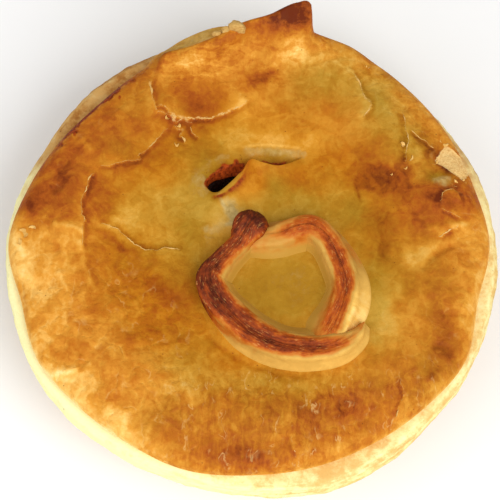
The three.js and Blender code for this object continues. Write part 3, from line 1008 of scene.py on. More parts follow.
# ---- the mince
@dataclass
class Mince:
    """The filling, which shows only down the vent. Its side is a table of insets and heights."""

    top: float = 29.4
    crown: float = 0.9
    crown_radius: float = 50.0
    floor: float = 4.3
    hollow: tuple[float, float, float, float] = (-5.5, 16.0, 6.0, 4.5)
    gap: float = 0.5
    side: tuple[tuple[float, float], ...] = ((3, 28.6), (1.4, 27.6), (8, 13.0), (12.6, 5.8), (15, 4.3))
    top_radius: float = 47.0
    top_rows: int = 70
    columns: int = 240

    def height(self, x: Array, y: Array) -> Array:
        """A low dome with lumps of noise, less a bell-shaped hollow under the vent.

        Args:
            x, y: the points' places.

        Returns:
            The top's height in mm.
        """
        hx, hy, width, depth = self.hollow
        dome = self.top + self.crown * (1 - (np.hypot(x, y) / self.crown_radius) ** 2)
        lumps = 0.4 * fractal(flat_points(x, y), 3.0, 21)
        return dome + lumps - depth * bell(np.hypot(x - hx, y - hy), width)

    def build(self, case: Case, finish: bpy.types.Material) -> bpy.types.Object:
        """Builds the filling, from the middle of its top over its side to the middle of its floor.

        Args:
            case: the case that it fills.
            finish: the mince's material.

        Returns:
            The piece.
        """
        azimuth = np.arange(self.columns) * 360 / self.columns
        turn = np.radians(azimuth)
        wall = case.inner(azimuth) - self.gap
        rows = []
        for r in np.linspace(0.8, self.top_radius, self.top_rows):
            x, y = r * np.cos(turn), r * np.sin(turn)
            rows.append(np.stack([x, y, self.height(x, y)], axis=-1))
        side = [(wall - inset, z) for inset, z in self.side]
        for radius, z in (*side, (wall * 0.3, self.floor)):
            rows.append(np.stack([radius * np.cos(turn), radius * np.sin(turn), z + 0 * turn], axis=-1))
        middle = self.height(np.zeros(1), np.zeros(1))[0]
        ends = (np.array([[0, 0, middle]]), np.array([[0, 0, self.floor]]))
        piece = skin("mince", np.array(rows), ends)
        place(piece, finish, Slot.MINCE, "mince")
        return piece


# ---- the lid
def in_axes(x: Array, y: Array, turn: float) -> tuple[Array, Array]:
    """Offsets in the plane, as seen along axes turned by an angle in degrees.

    Args:
        x: the offsets' x.
        y: the offsets' y.
        turn: the axes' turn from X to Y.

    Returns:
        The two offsets along the turned axes.
    """
    c, s = math.cos(math.radians(turn)), math.sin(math.radians(turn))
    return x * c + y * s, y * c - x * s


@dataclass(frozen=True)
class Patch:
    """A soft oval on the lid that adds to one of its fields: its middle, half widths, amount and turn."""

    x: float
    y: float
    wide: float
    long: float
    amount: float
    turn: float = 0.0

    def on(self, x: Array, y: Array) -> Array:
        """amount times a bell of the distance, in units of the oval's half widths along its own axes.

        Args:
            x, y: the points' places.

        Returns:
            What the oval adds at each point.
        """
        u, v = in_axes(x - self.x, y - self.y, self.turn)
        return self.amount * bell(np.hypot(u / self.wide, v / self.long), 1.0)


def patches(*rows: tuple[float, ...]) -> tuple[Patch, ...]:
    """One patch for each row of its numbers."""
    return tuple(Patch(*row) for row in rows)


@dataclass(frozen=True)
class Flake:
    """A torn edge of the lid's top layer, which stands up by step on the left of its line.

    The step dies away over reach. Pale says how light its broken layers are, with the painted highlight
    on its raised edge, and lip how thick they stand up along the line.
    """

    line: tuple[tuple[float, float], ...]
    step: float
    reach: float
    pale: float = 1.0
    lip: float = 1.0

    def stations(self) -> Array:
        """The line as a table."""
        return np.array(self.line, float)


FLAKES = tuple(Flake(*row) for row in (
    (((-40.3, -4), (-40, 4), (-40.7, 9.4), (-39.6, 14), (-38.0, 18.0)), 0.6, 9, 0.7),
    (((-37.6, 18.4), (-33, 20), (-28.8, 20.9), (-26.4, 21.6)), 0.25, 6, 0.06),
    (((-28, 21.2), (-25.4, 24.2), (-22.6, 27.4), (-19.9, 31.1)), 0.35, 5, 0.5),
    (
        (
            (-23.4, 35.2), (-21.5, 35.4), (-20.4, 34.9), (-20.3, 33.8), (-19.4, 33.2), (-19.2, 32.2),
            (-18.0, 31.5), (-16.7, 32.6), (-15.4, 31.6), (-14.2, 31.2),
        ),
        0.4, 4, 0.9, 2.6,
    ),
    (
        ((-19.4, 31.2), (-18.6, 29.7), (-17.0, 29.4), (-17.4, 28.2), (-16.4, 27.2), (-16.6, 26.2)),
        0.3, 2, 0.8, 2.2,
    ),
    (((-15.4, 31), (-14.4, 29), (-12.4, 27.4)), 0.25, 3, 0.3),
    (((-24, 34), (-20.4, 33.3), (-16.9, 32.5), (-10, 32.7), (-3, 35.5), (0, 38)), 0.6, 6),
    (((27.6, 31.1), (30.2, 35.5), (29, 38.3), (27.4, 43), (25, 47)), 0.5, 7),
    (((37.4, 34.5), (38.4, 31), (38.7, 27), (38.8, 23.7), (37.6, 19.3)), 0.5, 4, 0.4),
    (((51.4, 9.4), (50.6, 12.2), (48.6, 12.9), (46.8, 11.6), (45.6, 8.6)), 0.6, 5, 0.3),
    (((-22.7, 34.7), (-23.5, 36), (-24.5, 40), (-24.6, 43.7)), 0.4, 3),
    (((-16, -2), (-20, -1.6), (-25, -2.2), (-29, 0.4), (-33, 3.4), (-37, 4.4)), 0.35, 4, 0.6),
    (((45, -0.1), (48, 1.6), (51.4, 3.3)), 0.3, 4, 0.8),
    (((38.9, 29), (42.6, 26.4), (46.2, 23.7)), 0.25, 3, 0.6),
    (((46, 6.8), (48.6, 6.5), (51.5, 4.6)), 0.3, 3, 0.6),
    (((34.6, -34.5), (35.6, -39), (34.4, -42.5), (33.4, -45)), 0.35, 3, 0.5),
    (((9.0, -48.8), (10, -52), (10.8, -55.0)), 0.4, 3, 0.6),
))


@dataclass(frozen=True)
class Groove:
    """A line along which the lid's top sinks by depth, over width to either side, with painted shade
    along it where bake is above zero and a painted highlight where it is below.
    """

    line: tuple[tuple[float, float], ...]
    depth: float
    width: float
    bake: float = 0.0


GROOVES = tuple(Groove(*row) for row in (
    (
        ((-10.4, -23.4), (-7.2, -27), (-2.8, -30.2), (2.3, -32.8), (8, -34.2), (14, -34.6)),
        0.5, 0.6, 0.14,
    ),
    (((26, 18), (26.2, 14), (26.6, 10)), 0.4, 0.4, 0.16),
    (((-15.9, -35.7), (-14, -39.4), (-13.2, -43)), -0.3, 0.8, -0.12),
    (((-2.3, -35.7), (-2.2, -40)), -0.2, 0.6, -0.1),
    (((2.6, -42.5), (4.6, -48.1)), -0.2, 0.6, -0.08),
    (((9.3, -36), (9.4, -41), (8.6, -46)), -0.2, 0.6, -0.1),
    (((22, -37), (23, -43), (24, -48)), -0.2, 0.6, -0.08),
    (((-41, -23), (-40.4, -28), (-38.4, -30.4), (-40, -32)), 0.5, 0.8, -0.06),
    (((-44, 29), (-40, 31), (-35, 35), (-30, 38)), 0.3, 1.2, 0.06),
    (((20.5, 51.5), (14, 49.5), (6, 47.5), (0, 46.8)), 0.35, 0.7, 0.05),
    (((27, 50), (18, 47.8), (9, 45.8)), 0.3, 0.6, 0.04),
    (((-48.2, 3.8), (-45.2, 3.0), (-42.3, 2.0), (-39.8, 0.9)), -0.4, 1.0, -0.16),
    (((-42.2, 27.0), (-40.6, 24.8), (-39.1, 22.3)), -0.4, 1.2, -0.14),
    (((-46.3, -8.3), (-44.9, -10.2), (-43.7, -13.4)), -0.35, 0.7, -0.16),
    (((-44.6, -14.7), (-44.0, -19.9), (-43.8, -25.4)), 0.3, 0.7, -0.06),
    (((-41.0, 0.2), (-40.5, -3.8), (-39.1, -8.3), (-37.7, -12.8)), -0.3, 0.6, -0.12),
    (((-27.5, -14.6), (-26.9, -18.4), (-27.6, -21.7)), -0.25, 0.5, -0.12),
    (((-49, -34.2), (-46.5, -33.9), (-43.0, -33.1), (-40.0, -32.9)), -0.4, 1.0, -0.2),
    (((-37, -34), (-35.4, -38), (-33.2, -42), (-30, -46)), -0.3, 0.9, -0.08),
    (((-33, -10), (-34.6, -13), (-34, -16)), -0.25, 0.5, -0.1),
    (((-50, 0.8), (-47, -1.6), (-46, -4)), 0.4, 0.7, 0.1),
    (((-49, 12), (-46, 14.4), (-44.6, 18)), 0.4, 0.9, 0.12),
    (((50, -1), (45, -4), (41, -8.6)), 0.5, 1.0, 0.12),
    (((53, 4), (47, 3.0), (42, 2.4)), -0.4, 1.1, -0.14),
    (((54, -14), (50, -12), (47, -13)), 0.4, 0.8, 0.06),
    (((52, -20), (48, -19), (45, -20)), 0.4, 0.8, 0.06),
    (((49, -28), (45, -27), (42.6, -28)), 0.35, 0.8, 0.06),
    (((30, 0), (30.6, -4), (29.8, -8)), -0.2, 0.6, -0.1),
))

# How much more or less each place is baked than the lid as a whole; the paler patches at the lower left
# also paint the brighter light that falls there. Each row is a patch: x, y, its two half widths, its amount
# and its turn in degrees.
BAKE = patches(
    (-47.5, 19.5, 5.6, 5, 0.36, -30), (-55, 7.5, 3.4, 6, 0.34, 15), (-51, 11, 5, 6, 0.26),
    (-45, -3, 6, 8, 0.06), (-43, 8, 6, 6, 0.22), (-36, -6, 6, 5, 0.14), (-28, -3, 5, 4, 0.14),
    (-33, 13, 5, 4, 0.05), (-31, 12.5, 4, 4, 0.12), (-46, 4, 4, 4, 0.16), (-35, 26, 9, 6, 0.26, -20),
    (-40, 20, 5, 4, 0.1), (-35, 34, 6, 2.4, 0.12, 42), (-31, -1.6, 7, 1.6, 0.16, -25),
    (-40, 15, 4, 3, 0.14), (-42, 24, 4, 3, 0.12), (-36.5, 11, 3, 6, 0.16, 10), (-28, 30.5, 5, 3, 0.16),
    (-27, 33, 6, 3, 0.04), (-26.4, 38, 3, 6, 0.14), (-30, 43, 9, 3, 0.14, 35), (-13, 37, 7, 6, 0.32),
    (-19, 45, 5, 4, 0.1), (-20, 46.5, 3.4, 3, 0.1), (13.6, 58.0, 9, 5, 0.12, 10),
    (12.6, 55.4, 6, 3.4, 0.12, 10), (-16, 26, 5, 4, 0.16), (-12.5, 30.6, 4, 4, 0.18), (-21, 24, 3, 3, 0.1),
    (-25, 22.5, 7, 3, 0.2), (-26, 17, 8, 3, 0.1), (-8, 23, 4, 3, 0.16), (5, 43.5, 8, 2.2, 0.22, 8),
    (3.4, 44.6, 5, 2.0, 0.3, 14), (18, 37, 9, 5, 0.12), (12, 15, 8, 5, 0.18), (25, 24, 8, 5, 0.18),
    (8, 34, 8, 2.4, 0.08), (7, 21.4, 4, 2, 0.14), (25, 16, 4, 4, 0.14), (24, 7, 5, 3.4, 0.14),
    (33, 22, 4, 4, 0.14), (37, -12, 3, 9, 0.12), (38, 20, 2.6, 6, 0.22), (33, 15.5, 6, 3.4, 0.4, -12),
    (33, 8, 4, 4, 0.12), (34, 5, 5, 3, 0.08), (45.5, 12, 5, 3, 0.16), (42, 6.5, 5, 2.6, 0.06),
    (43, 11, 6, 4, 0.25), (43, 4, 6, 4, 0.28), (51.2, 9.4, 5.6, 4.0, 0.3), (46, 25, 2.6, 4, 0.1, 40),
    (48, 21, 4, 4, 0.24), (33, -13, 4, 5, -0.12), (43, 23, 3, 3, -0.12), (49, 19, 4, 4, 0.12),
    (43, 28, 3, 3, 0.1), (29, 18, 5, 4, 0.1), (48, 22, 3, 6, 0.2, 30), (55, -16, 3, 12, -0.12),
    (47.5, -18, 2.6, 4, 0.1), (50, -28, 3, 5, 0.14), (52, 0, 3, 8, 0.1), (32, -2, 5, 8, 0.34),
    (48, -4, 3, 4, 0.14), (38, -10, 5, 5, 0.14), (44.5, -12, 4, 6, 0.26), (27, -40, 9, 5, 0.16),
    (32, -32, 7, 6, 0.16), (46, -26, 4, 6, 0.34), (41, -37, 6, 5, 0.2, 40), (43, -34, 4, 3, 0.1),
    (20, -44, 9, 5.5, 0.3, 8), (8, -42, 6, 4, 0.22), (5, -46, 8, 5, 0.06), (-8, -43, 7, 5, 0.22),
    (-2, -53, 18, 4, 0.24), (4, -50, 9, 5, 0.08), (-14, -51, 6, 3, 0.1), (-20, -47, 7, 5, 0.16),
    (-23, -48, 4, 3, 0.12), (-33, -41, 4, 3.4, 0.24), (-28, -13, 9, 8, 0.17), (-23, -24, 8, 8, 0.15),
    (-42, -27, 6, 6, 0.04), (-40, -31, 6, 2.6, 0.08), (-17, -13, 5, 9, 0.28, 10), (-11, -26, 3, 3, 0.14),
    (-15, 5, 5, 4, 0.2), (-11, 19, 4, 3, 0.14), (8, -12, 11, 9, 0.14), (-5, -31, 8, 3, 0.08, -15),
    (8, -34, 12, 2.6, 0.06), (-15, -37, 5, 4, -0.12), (-18, -53, 6, 3, -0.1), (9, -51, 2, 4, -0.14),
    (22, 48, 6, 3, -0.06), (-56, -2, 3, 8, -0.3), (-47, 2, 6, 5, -0.2), (-31, 5.4, 5, 3, -0.22),
    (-35, 1.6, 5, 1.6, 0.14, -20), (-22, 0, 4, 4, -0.14), (-18, 12, 4, 4, -0.1), (-48, -13, 7, 10, -0.12),
    (-53, -12, 2.4, 10, -0.08), (-40, -36, 7, 5, -0.2, -40), (-31, -47, 8, 3.4, -0.3, -36),
    (-50, -33, 3, 12, -0.42, 40), (40, -6, 5, 6, -0.26), (42, 2, 4, 2.4, 0.08, 20),
    (49, 0, 5, 3, -0.14, 40), (57, 6, 2.5, 9, -0.06), (47, -38, 3, 14, -0.18, -42), (31, -20, 4, 9, -0.14),
    (6, 27, 14, 2.4, -0.14), (-8, 8, 6, 5, -0.12), (-4, 6.4, 3.4, 4.4, -0.3, -35), (28, 40, 3, 5, -0.14),
    (47.5, 19.5, 3, 4, 0.12), (44, 28, 3, 4, 0.14), (31, 45, 6, 2, 0.12, -30), (33.5, 36, 4, 5, -0.14),
    (35, 20, 2, 4, -0.1), (52, -24, 3, 6, -0.12), (48, -0.5, 3, 2.4, -0.12), (36, 40, 9, 4, 0.06, -45),
    (-2, 36, 3, 4, -0.22), (11, 46, 7, 4, -0.1), (12, 47, 6, 3, -0.06), (-9, 50, 5, 2.4, 0.12),
)

# Where the pastry is thin, soft or soaked and looks olive rather than orange.
OLIVE = patches(
    (8, -11, 15, 13, 1.4), (9, 8, 13, 5, 0.9), (-14, 4, 7, 13, 0.8), (-10, 16, 6, 6, 0.8),
    (7, 22, 6, 2, 1.0), (6, 15, 3.5, 4, 0.8), (29, -18, 5, 13, 0.8), (8, -36, 18, 4, 0.6),
    (-14, -31, 6, 7, 0.5), (-24, -5, 8, 5, 0.3), (-26, 8, 9, 7, 0.5), (-28, 37, 8, 5, 0.3),
    (-30, 24, 6, 4, 0.3), (32, 36, 6, 9, 0.8), (40, 28, 5, 8, 0.35), (19, 42, 11, 7, 0.8),
    (-8, 24, 8, 5, 0.6), (42, 24, 6, 6, 0.4), (46, 17, 4, 2.4, 0.9), (34, -6, 9, 14, 0.4),
    (26, 8, 6, 5, 0.5), (45, -12, 7, 9, 0.25), (42, -32, 8, 10, 0.4), (4, -44, 18, 6, 0.3),
    (-18, 48, 6, 4, 0.3), (34, 28, 6, 8, 0.3), (20, 12, 8, 6, 0.3), (-22, -45, 8, 5, 0.3),
)

# Smooth cream patches, where steam or fat kept the pastry from browning.
CREAM = patches(
    (10, -10, 9, 8, 0.24), (-12.8, 16.5, 2.6, 4.2, 0.44, -20), (-7, 22.6, 4, 1.4, 0.36, 30),
    (-5.2, 8.4, 4.6, 1.0, 0.5, -55), (-8, 3.4, 2.6, 5, 0.4, -40), (-4.0, 7.4, 1.6, 3.0, 1.0, -30),
    (-11.2, 4.4, 1.0, 1.5, 0.5, 20), (46.5, 15.5, 2.6, 1.4, 0.6),
)

# A pit beside the torn patch at the right rim.
PIT = Patch(45.5, 17.2, 3.6, 1.8, 0.5)

# The vent's far slope: cream where it stayed unbrowned, with a painted highlight along it.
FAR_SLOPE = ((-2.5, 24.2), (2, 24.7), (7, 24.4), (11, 24.0), (14.8, 23.0))


@dataclass
class Lid:
    """The puff pastry lid: a sheet with a slit vent, torn flakes, a rolled edge and a fold at the back.

    The sheet is one closed surface. Its rows start at the vent's mouth, run out over the top and the edge
    and come back underneath, and its columns run round.
    """

    middle: float = 34.2
    ridge: float = 2.0
    ridge_radius: float = 44.0
    ridge_width: float = 10.0
    radius: float = 58.0
    edge_height: float = 32.3
    roll: float = 6.5
    rim_start: float = 43.0
    seat: float = 30.3
    offsets: tuple[float, ...] = (
        0.4, -0.6, -0.4, 0, 1.0, 0.8, -0.5, -1.2, -3.0, -4.3, -3.1, -1.2,
        0.9, -1.0, 0.5, -0.4, -0.5, 0.3, -0.4, -0.4, -0.3, 0.3, 1.2, -1.2,
    )
    swellings: tuple[tuple[float, float, float, float], ...] = (
        (48, 10, 7, 1.3), (50, -8, 7, 0.9), (40, -34, 9, 0.8), (8, -47, 12, 0.7), (-36, -32, 9, 0.6),
        (-46, 8, 9, 0.9), (-38, 30, 8, 0.7), (36, 30, 9, 0.6), (42, 0, 5, -0.9), (-22, 30, 7, -0.5),
        (24, -42, 6, -0.6), (7, -11, 9, -0.6),
    )
    lip: tuple[tuple[float, float, float], ...] = (
        (-10.4, 12.5, 0), (-7.6, 12.5, 0.6), (-4.8, 14.0, 1.5), (-2.0, 16.8, 2.8), (0, 20.1, 4),
        (3.4, 20.3, 1.9), (7, 19.8, 1.1), (10.4, 21.0, 0.6), (13.4, 22.4, 0),
    )
    lip_reach: float = 6.0
    trough: tuple[float, ...] = (0, 0, 0, 0.2, 0.8, 1.6, 1.8, 1.2, 0)
    trough_reach: float = 4.6
    mouth: tuple[tuple[float, float], ...] = (
        (-10.9, 15.8), (-9.8, 13.4), (-7.7, 13.1), (-5.3, 14.6), (-2.5, 17.2), (-0.7, 19.8), (-1.2, 20.9),
        (-4, 20.6), (-7.6, 19.2),
    )
    mouth_middle: tuple[float, float] = (-5.8, 16.9)
    blobs: tuple[tuple[float, float], ...] = ((-6.4, 20.2), (-3.4, 21.5))
    rim_height: float = 0.85
    torn_place: tuple[float, float] = (50.5, 20.6)
    torn_half: tuple[float, float] = (4.6, 2.9)
    torn_turn: float = -38.0
    torn_depth: float = 0.5
    rim_step: float = 4.5
    rim_turns: tuple[float, float] = (2.8, 0.7)
    rim_fall: float = 0.55
    underside: tuple[tuple[float, float], ...] = ((0.12, -0.7), (0.5, -1.3), (1.5, -2.0))
    seat_radii: tuple[float, float] = (50.0, 34.0)
    seat_rise: float = 0.6
    wall_rise: float = 1.1
    wall_rows: int = 8
    gather: float = 1.3
    fold_azimuths: tuple[float, ...] = (66, 73.8, 75.6, 78.5, 85, 92, 99, 107, 113)
    fold_points: tuple[tuple[tuple[float, float], ...], ...] = (
        ((44, 36.1), (49.5, 36.8), (54.5, 37.4), (57.4, 36.8), (58.7, 35.6), (59.2, 34.2)),
        ((45, 36.1), (50.5, 37.4), (55, 39), (57.4, 38.4), (58.4, 37), (58.8, 35)),
        ((46, 36), (54.5, 39.8), (60.6, 44.8), (61.9, 43), (59.6, 39), (58.8, 35)),
        ((46.5, 35.8), (55, 40.4), (60.6, 45), (61.9, 43.2), (60, 39.6), (58.6, 35.4)),
        ((45, 36), (52.4, 39.2), (57.3, 43), (58.9, 41.6), (59, 38.8), (58.8, 35.4)),
        ((43.5, 36.2), (50.3, 38.6), (54.8, 43), (56.8, 40.8), (58.2, 38), (59.2, 35)),
        ((43, 36.2), (48, 38), (52.2, 42.2), (54.4, 39.4), (57, 36.6), (59.2, 35.2)),
        ((43.5, 36.2), (48, 37.6), (51.8, 40.8), (53.6, 38.4), (56, 36), (58.2, 34.2)),
        ((44, 36.2), (49.6, 36.7), (53.4, 38.2), (54.8, 37.2), (56, 35.4), (57, 33.4)),
    )
    fold_right_end: float = 56.0
    fold_left_end: float = 120.0
    horn_right: float = 74.2
    columns: int = 600
    sheet_rows: int = 96
    rim_rows: int = 54
    base_bake: float = 0.47
    under_bake: float = 0.3
    wall_bake: float = 0.7

    # ---- the top's height
    def plain(self, x: Array, y: Array) -> Array:
        """The sheet without its details: a middle height, a bell-shaped ridge round it and the swellings.

        Args:
            x, y: the points' places.

        Returns:
            The height in mm.
        """
        total = self.middle + self.ridge * bell(np.hypot(x, y) - self.ridge_radius, self.ridge_width)
        for sx, sy, width, height in self.swellings:
            total = total + height * bell(np.hypot(x - sx, y - sy), width)
        return total

    def vent(self, x: Array, y: Array) -> tuple[Array, Array, Array]:
        """The relief at the vent.

        In front of the lip's line the sheet rises as rise * (1 - d / reach)^2.2, where d is the distance.
        Behind it the flap's edge is as thick as rim_height along the mouth and none past it, and the
        sheet then drops within a millimetre and climbs out of the trough.

        Args:
            x, y: the points' places.

        Returns:
            The height to add, the distance behind the lip's line, and the place along it.
        """
        stations = np.array(self.lip, float)
        behind, spot = beside(x, y, stations)
        rise = np.maximum(along(stations[:, 2:], spot)[..., 0], 0)
        depth = np.maximum(along(np.array(self.trough)[:, None], spot)[..., 0], 0)
        front = rise * np.clip(1 + behind / self.lip_reach, 0, 1) ** 2.2
        thick = self.rim_height * ease(spot, 0.8, 1.9) * ease(spot, 3.5, 2.6)
        back = rise * ease(behind, thick + 1.0, thick)
        sunk = depth * ease(behind, 0.0, 0.7) * ease(behind, self.trough_reach, 1.4)
        inside = ((spot > 0) & (spot < len(stations) - 1)).astype(float)
        return np.where(behind < 0, front, back - sunk) * inside, behind, spot

    def flakes(self, x: Array, y: Array) -> tuple[Array, Array, Array]:
        """The steps at the torn edges.

        Args:
            x, y: the points' places.

        Returns:
            The height to add, how pale the raised edge is (torn layers, partly a painted highlight), and
            the painted shade: darker on the low side and lighter on the high one.
        """
        height, pale, shade = np.zeros(x.shape), np.zeros(x.shape), np.zeros(x.shape)
        jag = 0.35 * fractal(flat_points(x, y), 1.6, 31)
        for flake in FLAKES:
            line = flake.stations()
            left, spot = beside(x, y, line)
            left = left + jag
            fade = ease(spot, 0, 0.5) * ease(spot, len(line) - 1, len(line) - 1.5)
            raised = ease(left, -0.1, 0.25) * np.clip(1 - left / flake.reach, 0, 1)
            height += flake.step * fade * raised
            # A pale line on the raised edge: torn layers, partly a painted highlight.
            pale += flake.pale * fade * bell(left - 0.3, 0.45)
            # Painted shade on the low side of the step, and painted light on its high side.
            painted_low_shade = bell(left + 0.5, 0.5) + 0.4 * bell(left, 2.4)
            shade += fade * np.where(left < 0, painted_low_shade, -0.5 * bell(left, 2.0))
        return height, np.clip(pale, 0, 1), np.clip(shade, -1, 1)

    def height(self, x: Array, y: Array) -> Array:
        """The whole top: the plain sheet, vent, flakes, unevenness, wrinkles, puffs, grooves and hollows.

        Args:
            x, y: the points' places.

        Returns:
            The height in mm.
        """
        flat = flat_points(x, y)
        total = self.plain(x, y) + self.vent(x, y)[0] + self.flakes(x, y)[0]
        total = total + 0.26 * fractal(flat, 11.0, 41) + 0.09 * fractal(flat, 3.2, 42)
        wrinkled = ease(np.hypot(x, y), 26, 40) * ease(-y, -12, 18)
        creases = 1 - np.abs(fractal(flat, (2.6, 6.0, 1.0), 43, 2))
        total = total + 0.22 * wrinkled * creases**4
        puffed = ease(-x, 8, 24) * ease(-y, 0, 14)
        total = total + 0.5 * puffed * np.abs(fractal(flat, 8.0, 44, 2))
        total = total - self.grooves(x, y)[0]
        total = total - self.torn_depth * self.torn(x, y)
        return total - PIT.on(x, y)

    def grooves(self, x: Array, y: Array) -> tuple[Array, Array]:
        """How far the grooves sink the top, and the painted shade and highlight that they add to the bake.

        Args:
            x, y: the points' places.

        Returns:
            Depth in mm, and added bake as painted shade and highlight.
        """
        depth, bake = np.zeros(x.shape), np.zeros(x.shape)
        wander = 0.4 * fractal(flat_points(x, y), 2.2, 35)
        for groove in GROOVES:
            line = np.array(groove.line, float)
            left, spot = beside(x, y, line)
            fade = ease(spot, 0, 0.4) * ease(spot, len(line) - 1, len(line) - 1.4)
            near = fade * bell(left + wander, groove.width)
            depth += groove.depth * near
            bake += groove.bake * near
        return depth, bake

    def torn(self, x: Array, y: Array) -> Array:
        """One on the torn patch at the right rim, a turned oblong with a jagged outline.

        Args:
            x, y: the points' places.

        Returns:
            One inside and zero outside.
        """
        u, v = in_axes(x - self.torn_place[0], y - self.torn_place[1], self.torn_turn)
        jag = 0.5 * fractal(flat_points(x, y), 2.0, 33)
        out = np.maximum(np.abs(u) / self.torn_half[0], np.abs(v) / self.torn_half[1])
        return ease(out + 0.15 * jag, 1.1, 0.85)

    # ---- the rim and the fold
    def edge(self, azimuth: Array) -> Array:
        """The lid's radius for each azimuth in degrees."""
        return self.radius + around(np.array(self.offsets, float), azimuth)

    def rim(self, azimuth: Array, u: Array) -> Array:
        """The sheet's outer part, as a section through it at each azimuth.

        Each section has six points: its start, two on the shoulder, and three round the edge, or for the
        fold its foot, face, crest and back. Fold and plain sections are blended where the fold ends.

        Args:
            azimuth: each column's, in degrees.
            u: places along the section, from 0 to 5.

        Returns:
            Radius and height, as (rows, columns, 2).
        """
        edge = self.edge(azimuth)
        turn = np.radians(azimuth)

        def top(r: Array) -> Array:
            """The sheet's height at a radius."""
            return self.plain(r * np.cos(turn), r * np.sin(turn))

        shoulder = top(edge - self.roll)
        start = self.rim_start + 0 * edge
        second = start + self.rim_step
        turn_in, turn_out = self.rim_turns
        radii = np.array([start, second, edge - self.roll, edge - turn_in, edge - turn_out, edge])
        falling = shoulder + self.rim_fall * (self.edge_height - shoulder)
        bottom = self.edge_height + 0 * edge
        heights = np.array([top(start), top(second), shoulder, shoulder - 0.5, falling, bottom])
        plain = np.stack([radii, heights], axis=-1)
        stations = np.array(self.fold_azimuths)
        held = np.clip(azimuth, stations[0], stations[-1])
        spot = np.interp(held, stations, np.arange(len(stations)))
        folded = np.moveaxis(along(np.array(self.fold_points, float), spot), 0, 1)
        share = ease(azimuth, self.fold_right_end, stations[0])
        share = share * ease(azimuth, self.fold_left_end, stations[-1])
        points = plain + (folded - plain) * share[:, None]
        inner = np.stack([start - 6.5, top(start - 6.5)], axis=-1)[None]
        whole = np.concatenate([inner, points], axis=0)
        return along(whole, u + 1)

    # ---- the mesh
    def mouth_radius(self, heading: Array) -> Array:
        """How far the vent's outline lies from its middle.

        Args:
            heading: directions in radians.

        Returns:
            The distance in each direction.
        """
        loop = np.array(self.mouth, float)
        n = len(loop)
        t = np.linspace(0, n, 200, endpoint=False)
        i = np.floor(t).astype(int)
        share = (t - i)[:, None]
        path = catmull(loop[(i - 1) % n], loop[i % n], loop[(i + 1) % n], loop[(i + 2) % n], share)
        away = path - np.array(self.mouth_middle)
        angle = np.arctan2(away[:, 1], away[:, 0])
        order = np.argsort(angle)
        return np.interp(heading, angle[order], np.hypot(*away.T)[order], period=2 * math.pi)

    def build(self, finish: bpy.types.Material) -> bpy.types.Object:
        """Builds the sheet and its fields, as the class says.

        A column's inner part is a straight ray from the vent's middle to the circle where the rim starts,
        and its outer part is the rim's section. The top's details are added along Z to both, and fade on
        the fold.

        Args:
            finish: the lid's material.

        Returns:
            The piece.
        """
        azimuth = np.arange(self.columns) * 360 / self.columns
        turn = np.radians(azimuth)
        mx, my = self.mouth_middle
        cx = self.rim_start * np.cos(turn) - mx
        cy = self.rim_start * np.sin(turn) - my
        heading = np.arctan2(cy, cx)
        opening = self.mouth_radius(heading)
        t = np.linspace(0, 1, self.sheet_rows, endpoint=False)[:, None] ** self.gather
        reach = opening + (np.hypot(cx, cy) - opening) * t
        x = mx + reach * np.cos(heading)
        y = my + reach * np.sin(heading)
        sheet = np.stack([x, y, self.height(x, y)], axis=-1)

        u = np.linspace(0, 5, self.rim_rows)
        section = self.rim(azimuth, u)
        r, z = section[..., 0], section[..., 1]
        rx, ry = r * np.cos(turn), r * np.sin(turn)
        details = self.height(rx, ry) - self.plain(rx, ry)
        lifted = self.lifted(azimuth)
        keep = (1 - 0.8 * lifted) * ease(u, 5.0, 3.4)[:, None] * 0.95 + 0.05
        outer = np.stack([rx, ry, z + keep * details], axis=-1)
        outer = outer + self.fold_relief(azimuth, u, outer, lifted)

        under = []
        edge = section[-1, :, 0]
        for back, height in self.underside:
            under.append((edge - back, self.edge_height + height + 0 * edge))
        for radius, rise in zip(self.seat_radii, (0.0, self.seat_rise)):
            under.append((np.full_like(edge, radius), self.seat + rise + 0 * edge))
        flat = [np.stack([a * np.cos(turn), a * np.sin(turn), b], axis=-1) for a, b in under]
        wall_top = sheet[0, :, 2]
        wall = []
        for share in np.linspace(0, 1, self.wall_rows, endpoint=False):
            sunk = self.seat + self.wall_rise + (wall_top - self.seat - self.wall_rise) * share
            width = opening * (1 - (1 - share) * (0.12 + 0.5 * ease(np.sin(heading), -0.2, 0.8)))
            wall.append(np.stack([mx + width * np.cos(heading), my + width * np.sin(heading), sunk], axis=-1))
        rows = np.concatenate([sheet, outer, np.array(flat), np.array(wall)], axis=0)
        piece = skin("lid", rows)
        write_values(piece, **self.fields(rows, azimuth, u, len(flat), len(wall)))
        place(piece, finish, Slot.LID, "lid")
        return piece

    def lifted(self, azimuth: Array) -> Array:
        """One where the rim is folded up and zero elsewhere."""
        return ease(azimuth, self.horn_right, self.horn_right + 2) * ease(azimuth, self.fold_left_end, 112.0)

    def fold_relief(self, azimuth: Array, u: Array, points: Array, lifted: Array) -> Array:
        """Ridges that run along the fold and lumps on it, as offsets inwards and up.

        Args:
            azimuth: each column's, in degrees.
            u: places along the section, from 0 to 5.
            points: the rim's points, as (rows, columns, 3).
            lifted: one where the rim is folded up.

        Returns:
            The offsets, as (rows, columns, 3).
        """
        across = np.broadcast_to(u[:, None] * 5.0, points.shape[:2])
        arc = np.broadcast_to(np.radians(azimuth) * 55, points.shape[:2])
        ridges = fractal(np.stack([arc, across, 0 * arc], axis=-1), (16.0, 1.3, 1.0), 51)
        lumps = fractal(points, 4.5, 52)
        fade = (ease(u, 0.2, 1.0) * ease(u, 5.0, 4.0))[:, None]
        height = (0.12 * ridges + 0.45 * lumps) * lifted * fade
        return height[..., None] * np.array([0.0, -0.5, 0.8])

